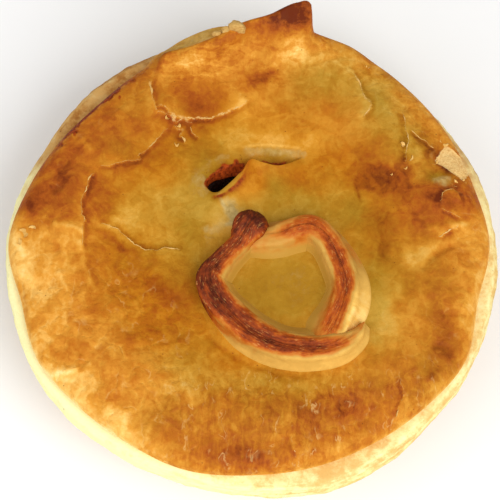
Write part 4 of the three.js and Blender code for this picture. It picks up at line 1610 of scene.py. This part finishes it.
    # ---- the fields
    def fields(self, rows: Array, azimuth: Array, u: Array, flats: int, walls: int) -> dict[str, Array]:
        """How baked, olive, rough, creamy, pale, stained, puffed, draped and streaked each point is.

        The patches are summed at places pushed about by noise, so that their outlines are uneven. The
        vent and the rim then add their own. Outer is one on the rolled part, whose colours differ.

        Args:
            rows: the points, as (rows, columns, 3).
            azimuth: each column's, in degrees.
            u: places along the rim's section.
            flats: how many rows lie underneath.
            walls: how many rows the vent's wall has.

        Returns:
            The fields by name.
        """
        x, y = rows[..., 0], rows[..., 1]
        flat = flat_points(x, y)
        px = x + 1.6 * fractal(flat, 6.0, 61) + 0.5 * fractal(flat, 1.8, 63)
        py = y + 1.6 * fractal(flat, 6.0, 62) + 0.5 * fractal(flat, 1.8, 64)
        away = np.hypot(px, py)
        _, torn_edge, shade = self.flakes(x, y)
        # shade adds the flakes' painted shade on their low sides and painted light on their high sides to the
        # bake.
        bake = self.base_bake + sum(patch.on(px, py) for patch in BAKE) + 0.18 * shade
        left_puffs = ease(-px, 6, 20) * ease(-py, 0, 14)
        f = {
            # The grooves' added bake is painted shade along grooves and painted highlight along ridges.
            "bake": bake + self.grooves(x, y)[1],
            "olive": sum(patch.on(px, py) for patch in OLIVE),
            "outer": ease(away, 28, 46),
            "rough": self.roughness(px, py),
            "cream": sum(patch.on(px, py) for patch in CREAM),
            # pale: torn layers, and partly a painted highlight along the flakes' raised edges.
            "pale": np.maximum(0.5 * torn_edge, self.torn(x, y)),
            "gravy": np.zeros(x.shape),
            "puff": np.maximum(left_puffs, 0.5 * ease(away, 44, 52)) * ease(away, 20, 30),
            "drape": ease(-py, 30, 38) * ease(away, 20, 32) * ease(-px, 26, 12),
            "streak": np.zeros(x.shape),
        }
        self.stain_vent(f, x, y)
        self.brown_rim(f, azimuth, u, flat)
        top_rows = self.sheet_rows + self.rim_rows
        f["bake"][top_rows : top_rows + flats] = self.under_bake
        f["bake"][-walls:] = self.wall_bake
        f["gravy"][-walls:] = 1.0
        return f

    def roughness(self, x: Array, y: Array) -> Array:
        """How uneven the lid is: most at the left, the bottom and the rim, and least inside the ring.

        Args:
            x, y: the points' places.

        Returns:
            The roughness, from 0.1 to 1.
        """
        left = ease(-x, 2, 22) * ease(-y, -34, 6)
        bottom = ease(-y, 26, 38)
        rim = 0.8 * ease(np.hypot(x, y), 40, 50)
        calm = bell(np.hypot((x - 8) / 14, (y + 11) / 13), 1) + 0.5 * bell(np.hypot(x + 4, y - 10), 12)
        far = 0.25 * ease(y, 36, 50) + 0.14 * ease(x, 24, 40) * ease(y, 0, 20)
        return np.clip(0.62 + 0.12 * np.maximum(np.maximum(left, bottom), rim) + far - 0.2 * calm, 0.1, 1)

    def stain_vent(self, f: dict[str, Array], x: Array, y: Array) -> None:
        """Gravy in front of the vent's lip, a dark red-brown crease, painted shade round the opening, a pale
        cut edge and a cream far slope with a painted highlight.

        Args:
            f: the fields, which it changes.
            x, y: the points' places.
        """
        _, behind, spot = self.vent(x, y)
        uneven = fractal(flat_points(x, y), 1.2, 65)
        slit = ease(spot, 0.3, 1.2) * ease(spot, 3.8, 2.8)
        under = bell(behind + 0.7, 0.7) * ease(spot, 0.2, 0.7) * ease(spot, 3.8, 2.4)
        f["gravy"] += (0.7 + 0.3 * uneven) * under
        f["bake"] += 0.3 * bell(behind + 0.9, 1.0) * ease(spot, 0.2, 0.7) * ease(spot, 3.8, 2.4)
        cut = ease(behind, -0.4, -0.1) * ease(behind, 1.6, 1.2) * slit
        f["gravy"] *= 1 - cut
        f["bake"] += (0.4 - f["bake"]) * cut
        f["olive"] += (0.9 - f["olive"]) * cut
        f["cream"] += 0.2 * cut
        # A dark red-brown line along the closed slit's crease, carried in the gravy field.
        crease = 1.2 * bell(behind - 1.5 + 0.2 * uneven, 0.45) * ease(spot, 4.4, 5.2) * ease(spot, 7.2, 6.2)
        f["gravy"] += 1.0 * crease
        opening = np.hypot(x - self.mouth_middle[0], y - self.mouth_middle[1])
        heading = np.arctan2(y - self.mouth_middle[1], x - self.mouth_middle[0])
        outside = opening - self.mouth_radius(heading)
        f["gravy"] += (0.8 + 0.3 * uneven) * bell(outside, 0.5) * ease(behind, 1.0, 2.0)
        # Painted shade: a soft darker ring round the opening.
        f["bake"] += 0.2 * bell(outside, 1.4) * (outside > 0)
        for bx, by in self.blobs:
            f["gravy"] += 1.1 * bell(np.hypot(x - bx, y - by), 0.7)
        near, place_on = beside(x, y, np.array(FAR_SLOPE))
        band = bell(near + 0.2 + 0.3 * uneven, 1.5) * ease(place_on, 0, 0.5) * ease(place_on, 4.0, 3.6)
        f["cream"] += 0.46 * band
        # A painted highlight: a lighter line along the far slope.
        f["bake"] -= 0.16 * bell(near - 1.2, 0.5) * ease(place_on, 0, 0.5) * ease(place_on, 4.0, 3.0)
        f["bake"] += 0.12 * bell(np.hypot(x, y - 18.6), 2.8)
        f["olive"] -= 1.0 * bell(np.hypot(x - 0.6, y - 16.0), 3.4)
        f["bake"] += 0.16 * bell(np.hypot((x - 6.5) / 4.0, (y - 21.2) / 0.8), 1)

    def brown_rim(self, f: dict[str, Array], azimuth: Array, u: Array, flat: Array) -> None:
        """The fold's browned crest, streaked face and tan back, the stained seam and the rim's lighter edge.

        Args:
            f: the fields, which it changes in the rim's rows.
            azimuth: each column's, in degrees.
            u: places along the section.
            flat: the points without their heights.
        """
        top = slice(self.sheet_rows, self.sheet_rows + self.rim_rows)
        lifted = self.lifted(azimuth)[None, :]
        v = u[:, None]
        a = azimuth[None, :]
        horn = ease(a, 93, 82)
        face = lifted * ease(v, 0.0, 0.5) * ease(v, 2.2, 1.8)
        back = lifted * ease(v, 2.25, 2.6)
        mottled = 1 + 0.6 * fractal(flat, 1.8, 66)[top]
        f["bake"][top] += bell(v - 2.0, 0.85) * lifted * (0.08 + 0.34 * horn * (0.4 + 0.6 * mottled))
        f["bake"][top] += back * (0.36 * horn - 0.19)
        f["bake"][top] -= 0.34 * bell(a - 109.5, 6) * bell(v - 1.3, 0.5)
        f["bake"][top] -= 0.27 * bell(a - 77.5, 4.0) * bell(v - 0.8, 0.4)
        f["cream"][top] += 0.1 * bell(a - 77, 3.0) * bell(v - 0.9, 0.4) * mottled
        f["olive"][top] = f["olive"][top] * (1 - 0.8 * face) + 0.5 * back * (1 - horn)
        f["cream"][top] += 0.26 * back * ease(a, 94, 100) * mottled
        f["streak"][top] = face * (ease(a, 92, 99) + 0.6 * ease(a, 84, 80))
        rim_edge = ease(v, 4.2, 4.9)
        seam = bell(a - 138, 17)
        f["gravy"][top] += ease(v + 0.7 * mottled, 3.7, 4.2) * (0.5 + 0.5 * mottled) * seam * (1 - lifted)
        f["bake"][top] -= 0.14 * rim_edge * (1 - seam) * (1 - lifted)
        notch = bell(a - 163, 4.5) * ease(v, 3.6, 4.6)
        f["pale"][top] = np.maximum(f["pale"][top], 0.7 * notch)
        f["puff"][top] *= 1 - lifted


# ---- the ring
@dataclass
class Strand:
    """One strand of the pastry ring, laid along stations of x, y, height, crest, left foot and right foot.

    For each station, left_dark and right_dark say how far out the dark bake reaches on that side in units
    of the crest's half width, char says how dark it is, and left_side and right_side how baked the sides
    are below it, partly as painted light: palest on the outer right skirt, darker on the inner walls.
    Inner is 1 where the ring's opening lies on the left and -1 where it lies on the right.
    """

    name: str
    stations: tuple[tuple[float, ...], ...]
    left_dark: tuple[float, ...]
    right_dark: tuple[float, ...]
    char: tuple[float, ...]
    left_side: tuple[float, ...]
    right_side: tuple[float, ...]
    furrow: tuple[float, ...]
    inner: int
    groove: float = 0.5
    sunk: float = 1.0
    flare: float = 0.9
    length_rows: int = 380
    over: int = 64
    beneath: int = 8

    def rows(self, lid: Lid) -> tuple[Array, dict[str, Array]]:
        """The strand's surface.

        At each step a section is drawn through thirteen points, from the left foot over the creased crest
        to the right foot, and closed beneath. It lies square to the path and follows the lid under each
        of its points. Noise stretched along the strand gives it its flaky streaks.

        Args:
            lid: the lid that it lies on.

        Returns:
            The points as (rows, columns, 3), and the strand's fields.
        """
        table = np.array(self.stations, float)
        last = len(table) - 1
        t = np.linspace(0, last, self.length_rows)
        x, y, height, crest, left, right = along(table, t).T
        ahead = along(table[:, :2], np.minimum(t + 0.05, last)) - along(table[:, :2], np.maximum(t - 0.05, 0))
        ahead /= np.hypot(*ahead.T)[:, None]

        def value(numbers: tuple[float, ...]) -> Array:
            """The strand's own numbers at each step, as a column."""
            return along(np.array(numbers, float)[:, None], t)

        flare = self.flare * ease(left, 1.5, 3.0)
        mid_left = crest + 0.35 * (left - crest)
        mid_right = crest + 0.35 * (right - crest)
        low = np.full_like(x, -self.sunk)
        section = np.array([
            [left + flare, low], [left + 0.7 * flare, low + self.sunk - 0.4], [left, 0 * x + 0.3],
            [mid_left, 0.46 * height], [crest, 0.82 * height], [0.5 * crest, 0.98 * height],
            [0 * x, height - self.groove * value(self.furrow)[:, 0]],
            [-0.5 * crest, 0.98 * height], [-crest, 0.82 * height], [-mid_right, 0.46 * height],
            [-right, 0 * x + 0.3], [-right - 0.7 * flare, low + self.sunk - 0.4], [-right - flare, low],
        ])
        over = along(np.moveaxis(section, 1, 2), np.linspace(0, len(section) - 1, self.over))
        back = np.linspace(0, 1, self.beneath + 2)[1:-1, None, None]
        closing = over[-1][None] + (over[0] - over[-1])[None] * back
        outline = np.concatenate([over, closing], axis=0)
        across, up = outline[..., 0].T, outline[..., 1].T
        gone = np.concatenate([[0], np.cumsum(np.hypot(np.diff(x), np.diff(y)))])
        run = np.broadcast_to(gone[:, None], across.shape)
        share = np.clip(up / height[:, None], 0, 1)
        streaks = fractal(np.stack([run, across, up * 0.6], axis=-1), (9.0, 0.8, 0.8), 71)
        lumps = fractal(np.stack([run, across, up], axis=-1), (5.0, 3.0, 3.0), 72)
        folds = fractal(np.stack([run, across, up], axis=-1), (1.3, 8.0, 8.0), 73, 2)
        on_left = across > 0
        reach = np.where(on_left, value(self.left_dark), value(self.right_dark))
        # side: how baked each side is, partly painted light, palest where the outer skirt faces the light.
        side = np.where(on_left, value(self.left_side), value(self.right_side))
        out_by = np.abs(across) / crest[:, None] + 0.2 * lumps + 0.1 * streaks + 0.06 * folds
        dark = ease(out_by, reach + 0.3, reach - 0.35)
        cored = 0.8 + 0.2 * ease(out_by, reach - 0.1, reach - 0.8)
        pleat = (1 - dark) * ease(side, 0.14, 0.06)
        out = 0.2 * streaks * dark + 0.24 * lumps * ease(share, 0.1, 0.6)
        out = out + 0.16 * folds * pleat * ease(share, 0, 0.1)
        px = x[:, None] - ahead[:, 1:] * across
        py = y[:, None] + ahead[:, :1] * across
        ground = lid.plain(px, py)
        ground = ground + (lid.height(px, py) - ground) * ease(share, 0.5, 0.05)
        pz = ground + up + out
        px = px - ahead[:, 1:] * 0.5 * out * np.sign(across)
        py = py + ahead[:, :1] * 0.5 * out * np.sign(across)
        bake = side + (value(self.char) * cored - side) * dark
        # foot is painted shade low on the inner side, and half as strong on the outer side as a blend into
        # the lid's olive.
        foot = np.where(across * self.inner > 0, ease(share, 0.7, 0.1), 0.5 * ease(share, 0.16, 0.0))
        fields = {
            "bake": bake,
            "run": run,
            "across": across + 0.6 * up * np.sign(across),
            "foot": foot * (1 - dark),
            "pleat": pleat,
        }
        return np.stack([px, py, pz], axis=-1), fields

    def build(self, lid: Lid, finish: bpy.types.Material, *nodes: str) -> bpy.types.Object:
        """Builds the strand and closes its ends on the middles of its first and last section.

        Args:
            lid: the lid that it lies on.
            finish: the ring's material.
            nodes: the nodes that it replaces.

        Returns:
            The piece.
        """
        rows, fields = self.rows(lid)
        piece = skin(self.name, rows, middles(rows))
        write_values(piece, **fields)
        place(piece, finish, Slot.RING, *nodes)
        return piece


LONG_STRAND = Strand(
    "ring_long_strand",
    (
        (2.9, 6.3, 2.2, 0.3, 0.6, 0.6), (2.3, 5.5, 4.2, 2.2, 3.0, 2.8), (1.2, 4.0, 5.7, 3.4, 4.3, 4.1),
        (-0.4, 1.9, 6.1, 3.8, 4.4, 4.2), (-2.6, -1.8, 5.5, 2.4, 3.4, 2.5), (-6.8, -6.4, 5.4, 2.6, 4.0, 2.6),
        (-9.5, -10.8, 5.6, 3.2, 5.2, 2.9), (-7.9, -15.7, 5.6, 3.3, 5.4, 3.1),
        (-4.0, -20.3, 5.5, 3.4, 5.8, 4.1), (1.1, -24.7, 5.4, 3.4, 6.0, 4.8),
        (7.6, -27.8, 5.3, 3.2, 6.1, 4.7), (14.6, -28.8, 5.2, 3.0, 6.4, 4.5),
        (20.6, -27.9, 5.0, 2.8, 5.4, 4.1), (24.8, -25.4, 4.2, 1.6, 3.6, 3.1),
        (27.0, -22.0, 3.0, 0.4, 1.2, 1.6),
    ),
    left_dark=(1.5, 1.5, 1.4, 1.1, 0.9, 0.85, 0.9, 0.9, 0.95, 0.95, 0.9, 0.85, 0.7, 0.3, 0.1),
    right_dark=(1.6, 1.6, 1.6, 1.6, 1.6, 1.6, 1.6, 1.45, 1.15, 1.0, 0.9, 0.82, 0.7, 0.65, 0.6),
    char=(1.0, 1.02, 1.0, 0.9, 0.8, 0.86, 0.92, 0.92, 0.84, 0.84, 0.86, 0.78, 0.6, 0.48, 0.42),
    left_side=(0.5, 0.5, 0.42, 0.36, 0.32, 0.3, 0.28, 0.28, 0.28, 0.28, 0.28, 0.28, 0.32, 0.36, 0.4),
    right_side=(0.7, 0.7, 0.7, 0.7, 0.6, 0.56, 0.46, 0.34, 0.26, 0.24, 0.22, 0.2, 0.2, 0.2, 0.24),
    furrow=(0, 0, 0, 0.2, 0.3, 0.5, 0.8, 1, 1.2, 1.2, 1, 0.7, 0.2, 0, 0),
    inner=1,
)
SHORT_STRAND = Strand(
    "ring_short_strand",
    (
        (-2.6, -1.8, 3.0, 1.8, 2.4, 2.4), (1.4, -0.2, 3.2, 2.2, 3.6, 4.0), (6.4, 0.6, 3.8, 2.6, 4.4, 4.6),
        (10.8, 2.0, 4.8, 2.8, 3.8, 4.8), (15.0, 2.2, 5.4, 2.8, 3.6, 4.6), (18.6, -0.8, 5.4, 2.7, 4.2, 4.2),
        (21.2, -6.2, 5.4, 2.7, 5.2, 4.2), (22.8, -12.0, 5.4, 2.8, 5.8, 4.4),
        (22.0, -17.6, 5.2, 3.0, 6.0, 5.4), (19.6, -23.4, 4.4, 3.0, 4.6, 6.4),
        (17.6, -27.4, 3.6, 2.4, 3.2, 4.6),
    ),
    left_dark=(0.2, 0.2, 0.2, 0.7, 1.0, 0.75, 0.75, 0.75, 0.7, 0.8, 1.0),
    right_dark=(0.2, 0.2, 0.5, 0.9, 0.8, 0.8, 0.9, 1.05, 1.1, 1.1, 1.1),
    char=(0.26, 0.26, 0.5, 0.7, 0.7, 0.68, 0.78, 0.72, 0.68, 0.62, 0.56),
    left_side=(0.34, 0.34, 0.36, 0.4, 0.4, 0.36, 0.38, 0.2, 0.06, 0.12, 0.4),
    right_side=(0.36, 0.36, 0.36, 0.38, 0.36, 0.28, 0.24, 0.3, 0.34, 0.38, 0.42),
    furrow=(0, 0, 0, 0, 0, 0.3, 0.8, 1, 0.8, 0.3, 0),
    inner=-1,
)


# ---- torn edges, chips and the crumb
@dataclass
class TornEdges:
    """The thin pale lips that stand up along the lid's torn flakes, all in one piece."""

    size: float = 0.12
    steps: int = 36
    sides: int = 8

    def build(self, lid: Lid, finish: bpy.types.Material) -> bpy.types.Object:
        """Carries a small flat oval along each flake's line, with noise in its width and pointed ends.

        Args:
            lid: the lid that they stand on.
            finish: their material.

        Returns:
            The piece.
        """
        shells = []
        for number, flake in enumerate(FLAKES):
            line = flake.stations()
            n = self.steps * (len(line) - 1)
            path = along(line, np.linspace(0.3, len(line) - 1.3, n))
            x, y = path.T
            noise = fractal(flat_points(x + 40 * number, y), 1.6, 81)
            push = 0.35 * fractal(flat_points(x, y), 1.6, 31)
            ahead = np.gradient(path, axis=0)
            ahead /= np.hypot(*ahead.T)[:, None]
            x = x + ahead[:, 1] * (push - 0.2)
            y = y - ahead[:, 0] * (push - 0.2)
            share = np.linspace(0, 1, n)
            thick = self.size * flake.lip * flake.pale * np.clip(0.35 + 1.9 * noise, 0.0, 2.2)
            thick = thick * ease(share, 0, 0.1) * ease(share, 1, 0.9) + 0.02
            angle = np.arange(self.sides) * 2 * math.pi / self.sides
            across = thick[:, None] * np.cos(angle)
            up = 0.7 * thick[:, None] * np.sin(angle)
            px = x[:, None] - ahead[:, 1:] * across
            py = y[:, None] + ahead[:, :1] * across
            pz = lid.height(x, y)[:, None] + 0.03 + up
            shells.append(np.stack([px, py, pz], axis=-1))
        piece = capped("torn_edges", [(grid, middles(grid)) for grid in shells])
        place(piece, finish, Slot.LID)
        return piece


@dataclass(frozen=True)
class Chip:
    """A loose flake on the lid: its place, length and width in mm, turn in degrees, and curl in mm."""

    x: float
    y: float
    length: float
    width: float
    turn: float
    curl: float = 0.4


CHIPS = tuple(Chip(*row) for row in (
    (-20.7, 32.6, 1.7, 1.0, -50, 0.4), (-18.2, 25.6, 1.4, 0.7, -10, 0.5), (-17.6, 30.6, 1.4, 0.8, 40, 0.4),
    (38.0, 24.6, 1.6, 0.9, 95, 0.8), (39.8, 20.8, 2.6, 0.5, 60, 0.3), (38.2, 18.4, 1.4, 0.4, 20, 0.3),
    (50.6, 14.4, 2.2, 1.2, 80, 0.6), (52.4, 15.2, 1.6, 0.9, -60, 0.4), (34.8, 17.0, 0.8, 0.4, 40),
    (-54.4, 2.0, 3.2, 1.2, 120, 0.5), (-55.6, -0.6, 2.2, 1.4, 60, 0.4), (-52.6, 3.2, 2.0, 0.8, 150, 0.3),
    (19.0, 51.8, 1.6, 0.9, 20, 0.6), (22.6, 50.6, 1.4, 0.8, -20, 0.6), (26.4, 48.6, 1.8, 0.9, -30, 0.6),
    (16.4, 52.6, 2.0, 1.0, 70, 0.7), (29.6, 47.0, 1.2, 0.8, -40, 0.5), (48.0, 25.6, 3.0, 0.8, -20, 0.4),
    (46.0, 20.4, 2.4, 0.7, 60, 0.5),
))


@dataclass
class Chips:
    """The loose flakes, all in one piece."""

    thick: float = 0.11
    bend: float = 2.4

    def build(self, lid: Lid, finish: bpy.types.Material) -> bpy.types.Object:
        """Flattens a ball for each chip and bends it into an arc of bend radians, with its ends curled up.

        The rise at a place is curl times the square of its share of the half length.

        Args:
            lid: the lid that they lie on.
            finish: their material.

        Returns:
            The piece.
        """
        lat = np.linspace(-math.pi / 2, math.pi / 2, 14)[1:-1, None]
        lon = np.linspace(0, 2 * math.pi, 30, endpoint=False)[None, :]
        u, v, w = np.cos(lat) * np.cos(lon), np.cos(lat) * np.sin(lon), np.sin(lat) + 0 * lon
        shells = []
        for number, chip in enumerate(CHIPS):
            ragged = 1 + 0.5 * fractal(np.stack([u + 3 * number, v, 0 * w], axis=-1), 0.9, 83)
            a, b = 0.5 * chip.length * u * ragged, 0.5 * chip.width * v * ragged
            c, s = math.cos(math.radians(chip.turn)), math.sin(math.radians(chip.turn))
            radius = chip.length / self.bend
            b = b + radius * (1 - np.cos(a / radius))
            a = radius * np.sin(a / radius)
            x, y = chip.x + a * c - b * s, chip.y + a * s + b * c
            base = lid.height(np.array([chip.x]), np.array([chip.y]))[0]
            shells.append(np.stack([x, y, base + 0.1 + self.thick * w + chip.curl * u * u], axis=-1))
        piece = capped("chips", [(grid, middles(grid)) for grid in shells])
        place(piece, finish, Slot.LID)
        return piece


@dataclass
class Crumb:
    """Lumps of puffed pastry baked on to the fold's crest, as centre and half sizes."""

    lumps: tuple[tuple[float, ...], ...] = (
        (-3.4, 54.7, 42.7, 2.1, 1.4, 1.5), (-6.0, 53.8, 42.0, 1.4, 1.0, 0.9),
        (-2.2, 54.2, 42.2, 1.3, 1.1, 1.0), (-8.2, 53.2, 41.4, 1.3, 0.8, 0.7),
    )

    def build(self, finish: bpy.types.Material) -> bpy.types.Object:
        """Balls in latitude and longitude, stretched to their sizes and pushed in and out by noise.

        Args:
            finish: their material.

        Returns:
            The piece.
        """
        lat = np.linspace(-math.pi / 2, math.pi / 2, 34)[1:-1, None]
        lon = np.linspace(0, 2 * math.pi, 56, endpoint=False)[None, :]
        x, y, z = np.cos(lat) * np.cos(lon), np.cos(lat) * np.sin(lon), np.sin(lat) + 0 * lon
        ball = np.stack([x, y, z], axis=-1)
        shells = []
        for number, lump in enumerate(self.lumps):
            centre, size = np.array(lump[:3]), np.array(lump[3:])
            uneven = 1 + 0.26 * fractal(ball + 5 + 3 * number, 0.9, 91)
            shells.append(centre + ball * size * uneven[..., None])
        piece = capped("fold_crumb", [(grid, middles(grid)) for grid in shells])
        place(piece, finish, Slot.LID)
        return piece


# ---- the studio
@dataclass
class Studio:
    """A pale floor, soft light and the camera, which looks down on the pie from the near side."""

    elevation: float = 68.0
    distance: float = 0.42
    frame_width: float = 0.1225
    aim: tuple[float, float, float] = (0.0, 0.0, 0.030)
    drop: float = 0.00049

    def build(self) -> None:
        """Makes the floor, the lights, the world and the camera."""
        scene = bpy.context.scene
        scene.view_settings.view_transform = "Standard"
        world = bpy.data.worlds.new("studio")
        world.use_nodes = True
        world.node_tree.nodes["Background"].inputs["Color"].default_value = (1.0, 0.99, 0.97, 1.0)
        world.node_tree.nodes["Background"].inputs["Strength"].default_value = 0.46
        scene.world = world
        self.floor()
        self.lamp("key", (0.30, -0.42, 0.62), 0.5, 4.6)
        self.lamp("fill", (-0.45, -0.25, 0.55), 0.6, 2.0)
        self.camera()

    def floor(self) -> None:
        """A wide pale plane under the pie."""
        half = 3.0
        mesh = bpy.data.meshes.new("floor")
        corners = [(-half, -half, 0), (half, -half, 0), (half, half, 0), (-half, half, 0)]
        mesh.from_pydata(corners, [], [(0, 1, 2, 3)])
        floor = bpy.data.objects.new("floor", mesh)
        bpy.context.collection.objects.link(floor)
        s = Shader("pale_floor", roughness=0.9, specular=0.1)
        tone = s.ramp(s.noise(60.0, 2.0), stops((0.0, 246, 246, 246), (1.0, 250, 250, 250)))
        floor.data.materials.append(s.finish(tone, s.bump(s.noise(1.0, 2.0), 0.002)))

    def lamp(self, name: str, where: tuple[float, float, float], size: float, power: float) -> None:
        """A square soft light at a place, turned to the pie.

        Args:
            name: the lamp's name.
            where: its place in m.
            size: its side in m.
            power: its power in W.
        """
        light = bpy.data.lights.new(name, "AREA")
        light.size = size
        light.energy = power
        lamp = bpy.data.objects.new(name, light)
        bpy.context.collection.objects.link(lamp)
        self.turn_to(lamp, np.array(where), np.array(self.aim))

    def turn_to(self, thing: bpy.types.Object, where: Array, at: Array) -> None:
        """Puts a lamp or camera at a place, looking along its own -Z, with +Y upwards in its view.

        Args:
            thing: the lamp or camera.
            where: its place in m.
            at: the point in m that it looks at.
        """
        back = (where - at) / np.linalg.norm(where - at)
        right = np.cross([0, 0, 1], back)
        right /= np.linalg.norm(right)
        up = np.cross(back, right)
        matrix = np.eye(4)
        matrix[:3, 0], matrix[:3, 1], matrix[:3, 2], matrix[:3, 3] = right, up, back, where
        thing.matrix_world = matrix.T.tolist()

    def camera(self) -> None:
        """The camera at the photograph's angle, aimed a little below the lid's middle in its own view."""
        lift = math.radians(self.elevation)
        up = np.array([0, math.sin(lift), math.cos(lift)])
        at = np.array(self.aim) - self.drop * up
        where = at + self.distance * np.array([0, -math.cos(lift), math.sin(lift)])
        data = bpy.data.cameras.new("camera")
        data.lens = data.sensor_width * self.distance / self.frame_width
        data.clip_start = 0.01
        camera = bpy.data.objects.new("camera", data)
        bpy.context.collection.objects.link(camera)
        self.turn_to(camera, where, at)
        bpy.context.scene.camera = camera


def main() -> None:
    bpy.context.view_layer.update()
    Studio().build()
    case, lid = Case(), Lid()
    case.build(lid, CaseFinish().build())
    Mince().build(case, MinceFinish().build())
    lid.build(LidFinish().build())
    ring_finish = RingFinish().build()
    LONG_STRAND.build(lid, ring_finish, "ring")
    SHORT_STRAND.build(lid, ring_finish, "ring")
    TornEdges().build(lid, CrumbFinish("torn_layers").build())
    golden = stops((0.25, 196, 138, 62), (0.5, 224, 174, 92), (0.75, 246, 208, 134))
    Chips().build(lid, CrumbFinish("loose_flakes", golden).build())
    toasted = stops((0.25, 168, 120, 58), (0.5, 204, 160, 88), (0.75, 232, 196, 128))
    Crumb().build(CrumbFinish("fold_crumb", toasted).build())


if __name__ == "__main__":
    logging.basicConfig(level=logging.INFO, format="%(name)s: %(message)s")
    main()
